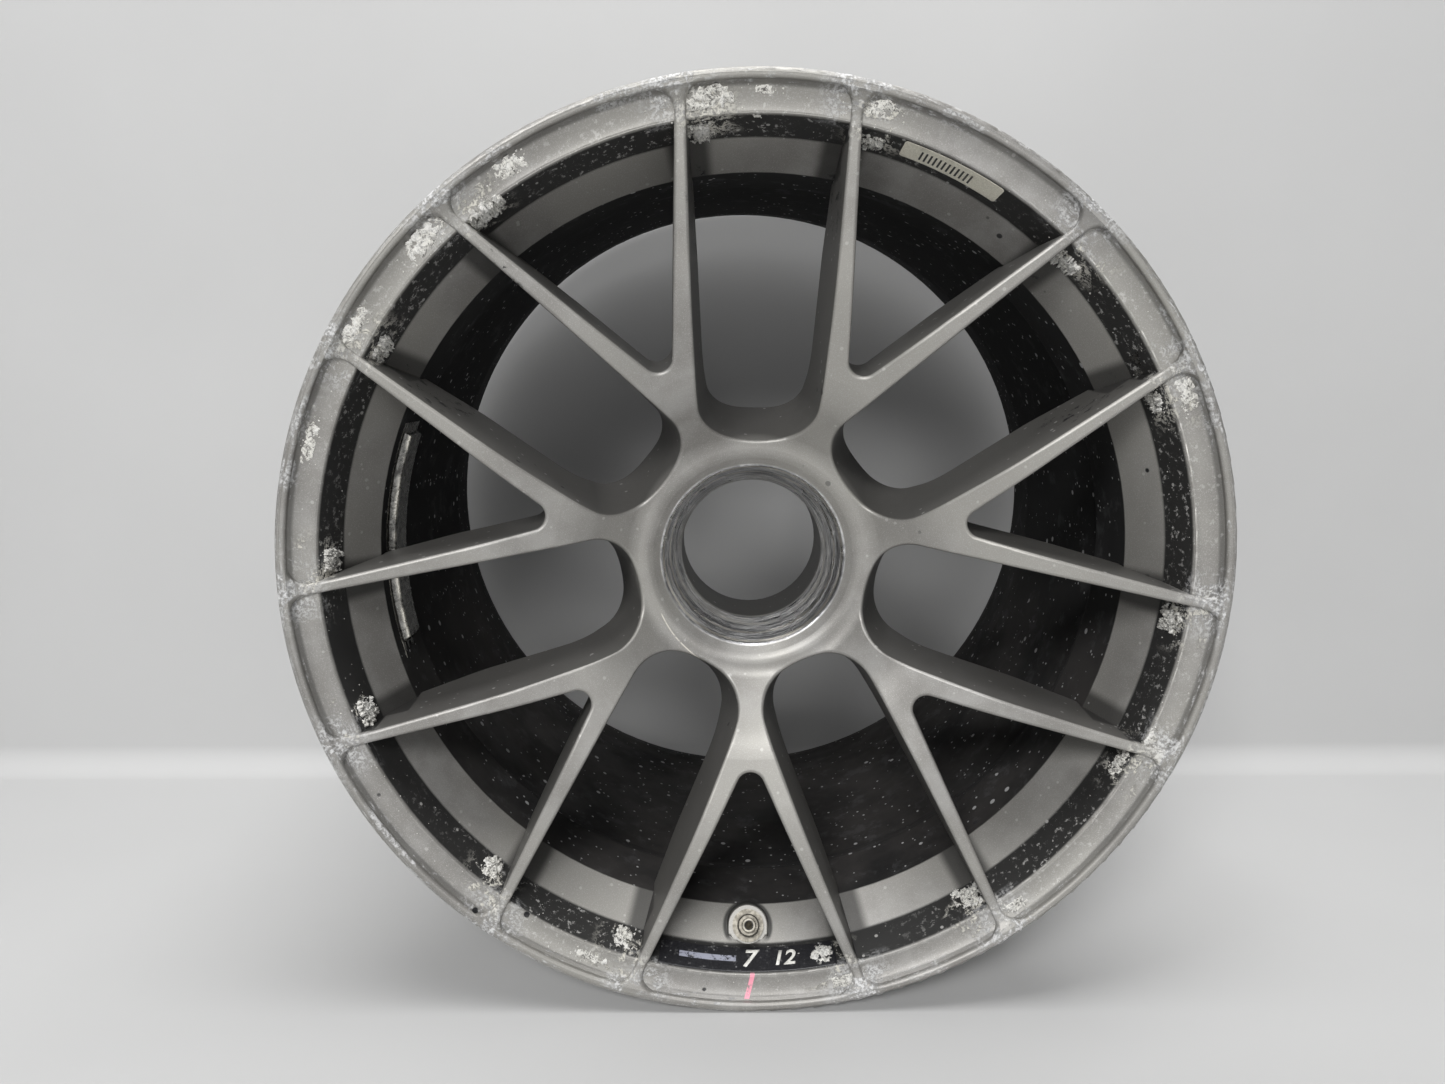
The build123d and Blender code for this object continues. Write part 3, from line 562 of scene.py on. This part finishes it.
def crumb_material():
    """Grey-cream flakes of baked dust and rubber; the noise that bumps their folds also paints the folds
    dark, a painted shade.
    """
    t = Tree("baked_crumbs")
    folds = t.noise(520.0, 8.0, 0.72, distortion=1.2)
    patches = t.noise(120.0, 4.0, 0.6)
    color = t.mix(t.step(folds, 0.38, 0.54), (0.12, 0.115, 0.105), (0.80, 0.785, 0.735))
    color = t.mix(t.times(t.step(patches, 0.48, 0.62), 0.6), color, (0.90, 0.89, 0.86))
    color = t.mix(t.times(t.step(patches, 0.40, 0.30), 0.5), color, (0.20, 0.19, 0.175))
    return t.finish(color, 0.78, t.times(t.step(folds, 0.6, 0.75), 0.25), t.bump(folds, 1.2 * MM, 0.9))


def label_material(angle_low, angle_high, bar_count):
    """A cream paper label with plain even bars and no writing."""
    t = Tree("label_paper")
    _, depth, angle = t.polar()
    along = t.math("DIVIDE", t.add(angle, -angle_low), angle_high - angle_low)
    beat = t.math("SINE", t.times(along, 2 * math.pi * bar_count))
    bars = t.times(
        t.step(beat, 0.10, 0.40), t.window(along, 0.16, 0.72, 0.004),
        t.window(depth, 10.0 * MM, 17.0 * MM, 0.2 * MM),
    )
    fibre = t.noise(1300.0, 5.0, 0.6)
    stain = t.step(t.noise(130.0, 6.0, 0.7), 0.50, 0.72)
    color = t.mix(t.step(fibre, 0.3, 0.7), (0.62, 0.59, 0.49), (0.78, 0.755, 0.65))
    color = t.mix(bars, color, (0.03, 0.03, 0.03))
    color = t.mix(t.times(stain, 0.45), color, (0.30, 0.28, 0.23))
    return t.finish(color, t.shift(0.55, fibre, 0.15), 0.0, t.bump(t.add(fibre, stain), 0.12 * MM, 0.6))


def vinyl_material(name, dark, light, scuff, stripe=None):
    """Printed vinyl, scuffed and dusty; stripe is (low angle, high angle, low depth, high depth, colour)."""
    t = Tree(name)
    grain = t.noise(900.0, 4.0, 0.6)
    marks = t.step(t.noise(230.0, 8.0, 0.75), 0.56, 0.70)
    color = t.mix(t.step(grain, 0.3, 0.7), dark, light)
    if stripe:
        low, high, near, far, shade = stripe
        _, depth, angle = t.polar()
        turn = t.add(angle, t.times(t.math("LESS_THAN", angle, 0.0), 360.0))
        printed = t.times(t.window(turn, low, high, 0.12), t.window(depth, near, far, 0.3 * MM))
        color = t.mix(t.times(printed, t.step(t.noise(300.0, 6.0, 0.7), 0.62, 0.50)), color, shade)
    color = t.mix(t.times(marks, 0.55), color, scuff)
    color = t.mix(t.times(t.specks(420.0, 0.3, 0.3), 0.7), color, scuff)
    return t.finish(color, t.shift(0.32, marks, 0.3), 0.0, t.bump(t.add(grain, marks), 0.08 * MM, 0.5))


def stage_material(name, color):
    """Plain pale cloth-covered ground, seen only from its front, so the wheel shows from behind it too."""
    t = Tree(name)
    weave = t.noise(700.0, 3.0, 0.6)
    soft = t.noise(2.2, 3.0, 0.5)
    shade = tuple(0.93 * value for value in color)
    mixed = t.mix(t.step(soft, 0.3, 0.7), shade, color)
    t.finish(mixed, t.shift(0.85, weave, 0.1), 0.0, t.bump(weave, 0.2 * MM, 0.15))
    sides = t.tree.nodes.new("ShaderNodeMixShader")
    t.put(sides.inputs[0], t.tree.nodes.new("ShaderNodeNewGeometry").outputs["Backfacing"])
    t.put(sides.inputs[1], t.shader.outputs[0])
    t.put(sides.inputs[2], t.tree.nodes.new("ShaderNodeBsdfTransparent").outputs[0])
    t.put(t.tree.nodes["Material Output"].inputs["Surface"], sides.outputs[0])
    return t.material


def dress(thing, material):
    thing.data.materials.clear()
    thing.data.materials.append(material)


# ------------------------------------------------------------------ places on the wheel
def place(radius, depth, angle):
    """A point of the wheel from its polar place."""
    turn = math.radians(angle)
    return Vector((radius * math.sin(turn), LIP_Y + depth, radius * math.cos(turn)))


GROOVE_SLOPE = Vector((GROOVE_RADIUS - BAND_RADIUS, GROOVE_DEPTH - BAND_DEPTH))
GROOVE_LENGTH = GROOVE_SLOPE.length
GROOVE_SLOPE = GROOVE_SLOPE / GROOVE_LENGTH
BAND_LENGTH = POCKET_RADIUS - BAND_RADIUS


def on_rim(distance, angle, height):
    """A point above the rim's front: distance runs from the lip down the band, then into the groove."""
    if distance < BAND_LENGTH:
        radius = POCKET_RADIUS - distance
        return place(radius, BAND_DEPTH - height, angle)
    run = distance - BAND_LENGTH
    radius = BAND_RADIUS + GROOVE_SLOPE.x * run - GROOVE_SLOPE.y * height
    depth = BAND_DEPTH + GROOVE_SLOPE.y * run + GROOVE_SLOPE.x * height
    return place(radius, depth, angle)


def new_piece(name, mesh_data, material, smooth=True):
    vertices, faces = mesh_data
    mesh = bpy.data.meshes.new(name)
    mesh.from_pydata([tuple(vertex) for vertex in vertices], [], faces)
    mesh.update()
    thing = bpy.data.objects.new(name, mesh)
    bpy.context.scene.collection.objects.link(thing)
    clean = bmesh.new()
    clean.from_mesh(mesh)
    bmesh.ops.recalc_face_normals(clean, faces=clean.faces)
    clean.to_mesh(mesh)
    clean.free()
    for polygon in mesh.polygons:
        polygon.use_smooth = smooth
    mesh.materials.append(material)
    return thing


def grid_faces(rows, columns):
    return [
        (i * columns + j, i * columns + j + 1, (i + 1) * columns + j + 1, (i + 1) * columns + j)
        for i in range(rows - 1) for j in range(columns - 1)
    ]


def sheet_mesh(layers, rows, columns):
    """A closed thin sheet from its lower and upper grids of points."""
    count = rows * columns
    faces = grid_faces(rows, columns)
    faces += [tuple(count + corner for corner in reversed(face)) for face in faces]
    border = list(range(columns))
    border += [i * columns + columns - 1 for i in range(1, rows)]
    border += [(rows - 1) * columns + j for j in range(columns - 2, -1, -1)]
    border += [i * columns for i in range(rows - 2, 0, -1)]
    for a, b in zip(border, border[1:] + border[:1]):
        faces.append((a, b, count + b, count + a))
    return layers[0] + layers[1], faces


def ramp(value, low, high):
    """0 below low and 1 above high, smooth between."""
    share = max(0.0, min(1.0, (value - low) / (high - low)))
    return share * share * (3.0 - 2.0 * share)


# ------------------------------------------------------------------ baked crumbs
# Each: angle, distance from the lip along the band and groove, length round the rim,
# width, height, all in mm but the angle.
CRUMBS = [
    (353.4, 6.0, 27.0, 11.0, 2.6), (0.6, 4.0, 9.0, 4.0, 1.2), (13.8, 5.0, 20.0, 9.0, 2.0),
    (352.6, 27.0, 14.0, 15.0, 5.0), (14.4, 26.0, 12.0, 13.0, 4.6), (44.4, 28.0, 15.0, 13.0, 6.0),
    (66.4, 6.5, 16.0, 9.0, 2.2), (66.0, 25.0, 15.0, 13.0, 5.0), (96.4, 25.0, 15.0, 15.0, 5.5),
    (117.9, 22.0, 15.0, 9.0, 4.2), (112.6, 12.0, 10.0, 5.0, 1.8), (147.0, 27.0, 18.0, 15.0, 5.0),
    (142.0, 7.0, 12.0, 6.0, 1.4), (170.2, 24.0, 13.0, 12.0, 3.4), (168.0, 6.0, 16.0, 7.0, 1.4),
    (199.4, 26.0, 13.0, 15.0, 4.6), (221.2, 27.0, 12.0, 15.0, 4.8), (250.0, 26.0, 16.0, 14.0, 5.2),
    (271.9, 26.0, 13.0, 15.0, 5.0), (301.5, 26.0, 15.0, 13.0, 5.2), (302.2, 4.5, 22.0, 7.0, 2.0),
    (323.9, 18.0, 20.0, 15.0, 5.4), (329.2, 6.0, 16.0, 9.0, 2.0), (316.0, 7.0, 24.0, 10.0, 2.4),
    (287.0, 5.0, 20.0, 6.0, 1.4), (359.7, 17.0, 3.4, 2.4, 0.8), (203.0, 8.0, 18.0, 5.0, 1.0),
]
DEGREES_PER_MM = math.degrees(1.0 / 220.0)
# A crust's grid step in mm, and the height in mm below which its faces are left out.
CRUMB_GRID = 0.45
BURIED = 0.03
# Chips are kept between these distances from the lip, in mm.
CHIPS_FROM, CHIPS_TO = 1.5, 34.0
STRAY_CHIPS = 420


def crumb_patch(index, angle, distance, length, width, height):
    """A crust as a crinkled sheet that rises out of the rim inside a ragged outline."""
    rows = int(width / CRUMB_GRID) + 1
    columns = int(length / CRUMB_GRID) + 1
    seed = Vector((index * 7.31, index * 3.17, 1.7))
    points = []
    heights = []
    for i in range(rows):
        across = 2.0 * i / (rows - 1) - 1.0
        for j in range(columns):
            along = 2.0 * j / (columns - 1) - 1.0
            spot = Vector((along * length, across * width, 0.0))
            ragged = noise.fractal(spot * 0.17 + seed, 0.8, 2.1, 4)
            crinkle = noise.ridged_multi_fractal(spot * 0.34 + seed, 0.9, 2.2, 5, 0.9, 1.8)
            crackle = noise.fractal(spot * 0.9 + seed, 0.6, 2.0, 3)
            rise = 0.92 - math.hypot(along, across) ** 1.6 + 1.25 * ragged
            rise = max(-0.25, min(rise * 2.2, 1.0))
            lift = rise * (0.30 + 0.42 * crinkle + 0.35 * crackle) * height * 0.55
            heights.append(lift)
            where = distance + across * width / 2.0
            shift = 0.35 * noise.noise(spot * 0.6 + seed)
            turn = angle + (along * length / 2.0 + shift) * DEGREES_PER_MM
            points.append(on_rim(max(1.0, where) * MM, turn, lift * MM))
    faces = []
    for face in grid_faces(rows, columns):
        if max(heights[corner] for corner in face) > BURIED:
            faces.append(face)
    used = sorted({corner for face in faces for corner in face})
    renumber = {corner: new for new, corner in enumerate(used)}
    return [points[corner] for corner in used], [tuple(renumber[c] for c in face) for face in faces]


def join_meshes(parts):
    vertices = []
    faces = []
    for part_vertices, part_faces in parts:
        base = len(vertices)
        vertices.extend(part_vertices)
        faces.extend(tuple(base + corner for corner in face) for face in part_faces)
    return vertices, faces


def loose_chips(random_source):
    """Single flakes and grains scattered round the crusts and in the groove."""
    parts = []
    for angle, distance, length, width, _ in CRUMBS:
        for _ in range(int(length * 1.3)):
            turn = angle + random_source.gauss(0.0, length * 0.42) * DEGREES_PER_MM
            where = distance + random_source.gauss(0.0, width * 0.45)
            if CHIPS_FROM < where < CHIPS_TO:
                parts.append(chip(random_source, where * MM, turn, random_source.uniform(0.25, 0.9) * MM))
    for _ in range(STRAY_CHIPS):
        where = random_source.uniform(2.0, 33.0)
        turn = random_source.uniform(0, 360)
        parts.append(chip(random_source, where * MM, turn, random_source.uniform(0.15, 0.45) * MM))
    return join_meshes(parts)


def chip(random_source, distance, angle, size):
    """One small irregular flake lying on the rim."""
    base = on_rim(distance, angle, 0.0)
    out = (on_rim(distance, angle, 0.001) - base).normalized()
    side = (on_rim(distance, angle + 0.05, 0.0) - base).normalized()
    across = out.cross(side)
    foot = base - out * size * 0.1
    ring = []
    count = 5
    for k in range(count):
        turn = 2 * math.pi * (k + random_source.uniform(-0.3, 0.3)) / count
        reach = size * random_source.uniform(0.55, 1.0)
        ring.append(foot + side * (reach * math.cos(turn)) + across * (reach * math.sin(turn)))
    top = []
    for corner in ring:
        inward = random_source.uniform(0.5, 0.8)
        top.append(base + (corner - base) * inward + out * size * random_source.uniform(0.35, 0.7))
    faces = [tuple(range(count))[::-1], tuple(range(count, 2 * count))]
    for k in range(count):
        after = (k + 1) % count
        faces.append((k, after, count + after, count + k))
    return ring + top, faces


# ------------------------------------------------------------------ foil over the weights
FOIL_ANGLES = (254.2, 291.8)
RIDGE_ANGLES = (257.0, 290.0)
FOIL_LENGTH_MM = 126.0
FOIL_WIDTH_MM = 25.0


def plateau(value, low, high, outer, inner):
    """1 from low to high and 0 beyond, with a smooth flank from outer to inner past each end."""
    return ramp(value, low - outer, low - inner) * ramp(-value, -high - outer, -high - inner)


def foil_piece():
    """Crumpled foil tape: flat edges down on the well, a ridge over the weights, a torn lower end."""
    low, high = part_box("weight_foil")
    near, far = low[1] - LIP_Y, high[1] - LIP_Y
    weight_low, weight_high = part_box("balance_weight_3")
    crown_near, crown_far = weight_low[1] - LIP_Y, weight_high[1] - LIP_Y
    start, end = FOIL_ANGLES
    rows, columns = 64, 420
    layers = []
    for layer in (0, 1):
        points = []
        for i in range(rows):
            across = i / (rows - 1)
            depth = near + (far - near) * across
            torn = 2.4 * noise.fractal(Vector((across * 5.0, 4.2, 0.0)), 0.7, 2.0, 4) + 1.2 * across
            for j in range(columns):
                along = j / (columns - 1)
                spot = Vector((along * FOIL_LENGTH_MM, across * FOIL_WIDTH_MM, 0.0))
                angle = start + (end - start) * along + max(0.0, 1.0 - along * 9.0) * (torn + 1.2)
                rise = plateau(angle, *RIDGE_ANGLES, 0.5, 0.0)
                rise *= plateau(depth, crown_near, crown_far, 1.0 * MM, 0.15 * MM)
                fold = noise.ridged_multi_fractal(spot * 0.16, 0.9, 2.1, 5, 0.9, 2.0)
                wave = noise.fractal(spot * 0.45 + Vector((9.0, 2.0, 0.0)), 0.7, 2.0, 4)
                edge = min(across, 1.0 - across) * 8.0
                loose = 0.35 + 0.5 * (1.0 - rise) * min(1.0, edge)
                lift = (0.10 + loose * 0.22 * fold + 0.10 * wave) * MM
                lift = max(0.02 * MM, min(lift, 0.24 * MM if rise > 0.5 else 0.75 * MM))
                height = WEIGHT_HEIGHT * rise + lift + layer * FOIL_THICKNESS
                points.append(place(WELL_RADIUS - height, depth, angle))
        layers.append(points)
    return sheet_mesh(layers, rows, columns)


def foil_scrap():
    """A torn triangle of foil caught in the groove."""
    corners = [(-3.4, -3.6), (4.4, -1.4), (-0.8, 4.6)]
    points = [
        on_rim((26.0 + across) * MM, 59.9 + math.degrees(along / 217.0), height * MM)
        for height in (0.25, 0.50) for along, across in corners
    ]
    return points, [(0, 1, 2), (3, 5, 4), (0, 3, 4, 1), (1, 4, 5, 2), (2, 5, 3, 0)]


# ------------------------------------------------------------------ stickers
STICKER_MARGIN = 2.2 * MM
STICKER_LENGTHS = {"inventory_label": 52.0 * MM, "number_decal": 97.0 * MM}


def sticker_piece(node, corner, curl):
    """A thin sheet on the groove with rounded corners and slightly lifted edges."""
    low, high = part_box(node)
    middle = (Vector(low) + Vector(high)) / 2
    angle = math.degrees(math.atan2(middle.x, middle.z)) % 360.0
    half_width = ((high[1] - LIP_Y - BAND_DEPTH) / GROOVE_SLOPE.y - STICKER_MARGIN) / 2
    half_length = STICKER_LENGTHS[node] / 2
    sheet_middle = BAND_LENGTH + STICKER_MARGIN + half_width
    rows, columns = 26, 130
    layers = []
    for layer in (0, 1):
        points = []
        for i in range(rows):
            v = 2.0 * i / (rows - 1) - 1.0
            for j in range(columns):
                u = 2.0 * j / (columns - 1) - 1.0
                x, y = squared(u, v, half_length, half_width, corner)
                wave = noise.fractal(Vector((u * 4.0, v * 2.0, angle)), 0.8, 2.0, 3)
                curled = curl * ramp(max(abs(u), abs(v)), 0.85, 1.0) * max(0.0, wave)
                height = min(SHEET_LIFT + curled, SHEET_TOP) + layer * VINYL_THICKNESS
                turn = angle + math.degrees(x / BAND_RADIUS)
                points.append(on_rim(sheet_middle + y, turn, height))
        layers.append(points)
    return sheet_mesh(layers, rows, columns)


def squared(u, v, half_u, half_v, corner):
    """Place in a rectangle with rounded corners of a point in the unit square."""
    x, y = u * half_u, v * half_v
    inset_x, inset_y = half_u - corner, half_v - corner
    over_x, over_y = abs(x) - inset_x, abs(y) - inset_y
    if over_x > 0 and over_y > 0:
        reach = max(over_x, over_y)
        scale = reach / math.hypot(over_x, over_y)
        x = math.copysign(inset_x + over_x * scale, x)
        y = math.copysign(inset_y + over_y * scale, y)
    return x, y


DIGIT_SLANT = 0.25
DIGIT_BOLDNESS = 0.28 * MM
LONGEST_EDGE = 1.2 * MM
SAME_POINT = 0.01 * MM


def digits_piece(text, angle, size, name, material):
    """Plain raised vinyl digits wrapped on the groove, read from outside with the axle above."""
    curve = bpy.data.curves.new(name + "_outline", "FONT")
    curve.body = text
    curve.size = size
    curve.shear = DIGIT_SLANT
    curve.offset = DIGIT_BOLDNESS
    curve.align_x = "CENTER"
    curve.align_y = "CENTER"
    curve.resolution_u = 4
    flat = bpy.data.objects.new(name + "_outline", curve)
    bpy.context.scene.collection.objects.link(flat)
    bpy.context.view_layer.update()
    mesh = bpy.data.meshes.new_from_object(flat.evaluated_get(bpy.context.evaluated_depsgraph_get()))
    bpy.data.objects.remove(flat)
    work = bmesh.new()
    work.from_mesh(mesh)
    bmesh.ops.remove_doubles(work, verts=work.verts, dist=SAME_POINT)
    bmesh.ops.triangulate(work, faces=work.faces)
    long_edges = [edge for edge in work.edges if edge.calc_length() > LONGEST_EDGE]
    bmesh.ops.subdivide_edges(work, edges=long_edges, cuts=2, use_grid_fill=False)
    bmesh.ops.triangulate(work, faces=work.faces)
    shell = bmesh.ops.extrude_face_region(work, geom=work.faces[:])
    for item in shell["geom"]:
        if isinstance(item, bmesh.types.BMVert):
            item.co.z += VINYL_THICKNESS
    middle = BAND_LENGTH + GROOVE_LENGTH / 2
    for vertex in work.verts:
        x, y, z = vertex.co
        vertex.co = on_rim(middle + y, angle - math.degrees(x / BAND_RADIUS), DIGIT_LIFT + z)
    mesh_data = in_order(work)
    work.free()
    return new_piece(name, mesh_data, material)


def in_order(work):
    """A bmesh's points and faces sorted by place, because its tools leave them in no fixed order."""
    work.verts.index_update()
    corners = sorted(work.verts, key=lambda vertex: tuple(round(value, 6) for value in vertex.co))
    rank = {vertex.index: order for order, vertex in enumerate(corners)}
    faces = []
    for face in work.faces:
        ring = [rank[vertex.index] for vertex in face.verts]
        first = ring.index(min(ring))
        faces.append(tuple(ring[first:] + ring[:first]))
    return [vertex.co.copy() for vertex in corners], sorted(faces)


# ------------------------------------------------------------------ dress the frame
LABEL_ANGLES = (18.13, 31.87)
LABEL_BARS = 22.0
PRINTED_STRIPE = (182.6, 191.0, 12.6 * MM, 16.4 * MM, (0.34, 0.35, 0.42))

gunmetal = forging_material()
valve_alloy = machined_material(
    "valve_alloy", (0.19, 0.175, 0.145), (0.40, 0.375, 0.320), 420.0, 0.46, 0.60, 0.45, mouth=2.7 * MM
)
brass = machined_material("brass", (0.022, 0.018, 0.010), (0.050, 0.040, 0.022), 600.0, 0.6, 0.5)
steel = machined_material("bush_steel", (0.34, 0.34, 0.35), (0.60, 0.60, 0.62), 180.0)
zinc = machined_material("weight_zinc", (0.30, 0.30, 0.31), (0.55, 0.55, 0.57), 140.0, 0.45)
spring_steel = machined_material("spring_steel", (0.45, 0.45, 0.46), (0.72, 0.72, 0.74), 900.0, 0.25)
rubber = rubber_material()
foam = foam_material()
foil_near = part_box("weight_foil")[0][1] - LIP_Y
weights_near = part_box("balance_weight_3")[0][1] - LIP_Y
foil = foil_material([foil_near + 0.6 * MM, weights_near])
crumb = crumb_material()
label = label_material(*LABEL_ANGLES, LABEL_BARS)
black_vinyl = vinyl_material("black_vinyl", (0.010, 0.010, 0.012), (0.022, 0.022, 0.025), (0.20, 0.20, 0.20))
strip_vinyl = vinyl_material(
    "strip_vinyl", (0.010, 0.010, 0.012), (0.022, 0.022, 0.025), (0.30, 0.30, 0.30), PRINTED_STRIPE
)
white_vinyl = vinyl_material("white_vinyl", (0.66, 0.65, 0.60), (0.80, 0.79, 0.75), (0.30, 0.30, 0.29))

FINISH = {
    "satin_gunmetal": gunmetal, "valve_alloy": valve_alloy, "black_rubber": rubber, "brass": brass,
    "spring_steel": spring_steel, "foam_tape": foam, "foil": foil, "label_paper": label,
    "black_vinyl": black_vinyl, "weight_steel": zinc, "bush_steel": steel,
}
for entry in RECORD["subparts"]:
    dress(NODES[entry["node"]], FINISH[entry["material_slot"]])


def settle(thing, node=None):
    """Ties a piece to the wheel and hides the CAD node it stands in for, if any."""
    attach(thing, MAIN_BODY)
    if node:
        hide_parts(node)


def squash_spring():
    """A copy of the core's spring, tied to the wheel in place of its CAD node."""
    solid = NODES["valve_core_spring"]
    coil = solid.data.copy()
    coil.transform(solid.matrix_world)
    spring = bpy.data.objects.new("core_spring", coil)
    bpy.context.scene.collection.objects.link(spring)
    dress(spring, spring_steel)
    settle(spring, "valve_core_spring")
    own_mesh(spring)


crusts = [crumb_patch(index, *crumb_spec) for index, crumb_spec in enumerate(CRUMBS)]
settle(new_piece("baked_crumb_crusts", join_meshes(crusts), crumb))
settle(new_piece("baked_crumb_grains", loose_chips(random.Random(7)), crumb, smooth=False))
settle(new_piece("foil_tape", foil_piece(), foil), "weight_foil")
label_mesh = sticker_piece("inventory_label", 1.6 * MM, 0.12 * MM)
settle(new_piece("paper_label", label_mesh, label), "inventory_label")
strip_mesh = sticker_piece("number_decal", 0.8 * MM, 0.05 * MM)
settle(new_piece("vinyl_strip", strip_mesh, strip_vinyl), "number_decal")
squash_spring()
settle(new_piece("foil_scrap", foil_scrap(), foil, smooth=False))
settle(digits_piece("7", 180.9, 15.5 * MM, "vinyl_digit_large", white_vinyl))
settle(digits_piece("12", 175.8, 13.0 * MM, "vinyl_digits_small", white_vinyl))


# ------------------------------------------------------------------ stage, lights, camera
WALL_GAP = 0.024
BEND_RADIUS = 0.022
BEND_STEPS = 12


def backdrop():
    """Floor and wall as one pale sheet with a soft bend behind the wheel; its front faces the camera."""
    floor_z = CAD_BOX[0][2]
    wall_y = CAD_BOX[1][1] + WALL_GAP
    profile = [(-4.0, floor_z), (-1.5, floor_z), (wall_y - BEND_RADIUS, floor_z)]
    for k in range(1, BEND_STEPS + 1):
        turn = math.radians(90.0 * k / BEND_STEPS)
        y = wall_y - BEND_RADIUS + BEND_RADIUS * math.sin(turn)
        profile.append((y, floor_z + BEND_RADIUS - BEND_RADIUS * math.cos(turn)))
    profile += [(wall_y, floor_z + 0.8), (wall_y, floor_z + 3.0)]
    columns = (-4.0, -1.0, 1.0, 4.0)
    points = [Vector((x, y, z)) for x in columns for y, z in profile]
    cloth = stage_material("pale_cloth", (0.50, 0.50, 0.498))
    sheet = new_piece("backdrop", (points, grid_faces(len(columns), len(profile))), cloth)
    if min(polygon.normal.z for polygon in sheet.data.polygons) < -0.5:
        sheet.data.flip_normals()


def area_light(name, location, size, power):
    """A rectangular light aimed at the wheel's centre."""
    light = bpy.data.lights.new(name, "AREA")
    light.shape = "RECTANGLE"
    light.size, light.size_y = size
    light.energy = power
    thing = bpy.data.objects.new(name, light)
    thing.location = location
    thing.rotation_euler = (-Vector(location)).to_track_quat("-Z", "Y").to_euler()
    bpy.context.scene.collection.objects.link(thing)


backdrop()
area_light("key", (-0.60, -2.50, 1.60), (1.3, 0.8), 68.0)
area_light("overhead", (0.1, -0.34, 1.75), (1.5, 0.7), 29.0)
area_light("front_fill", (0.5, -2.6, 0.1), (1.6, 1.0), 7.0)

world = bpy.data.worlds.new("studio")
bpy.context.scene.world = world
world.use_nodes = True
sky = world.node_tree.nodes["Background"].inputs
sky["Color"].default_value = (0.95, 0.97, 1.0, 1.0)
sky["Strength"].default_value = 0.12

# The camera's place, angle and lens, solved from the wheel's proportions.
CAMERA_PLACE = (-0.02092, LIP_Y - 0.46730, 0.10156)
LENS = 24.29
yaw = math.radians(0.4533)
pitch = math.radians(10.0399)
camera_data = bpy.data.cameras.new("camera")
camera_data.sensor_width = 36.0
camera_data.lens = LENS
camera_data.clip_start = 0.01
camera = bpy.data.objects.new("camera", camera_data)
camera.location = CAMERA_PLACE
look = Vector((math.sin(yaw) * math.cos(pitch), math.cos(yaw) * math.cos(pitch), -math.sin(pitch)))
camera.rotation_euler = look.to_track_quat("-Z", "Y").to_euler()
bpy.context.scene.collection.objects.link(camera)
bpy.context.scene.camera = camera
bpy.context.scene.view_settings.view_transform = "Standard"
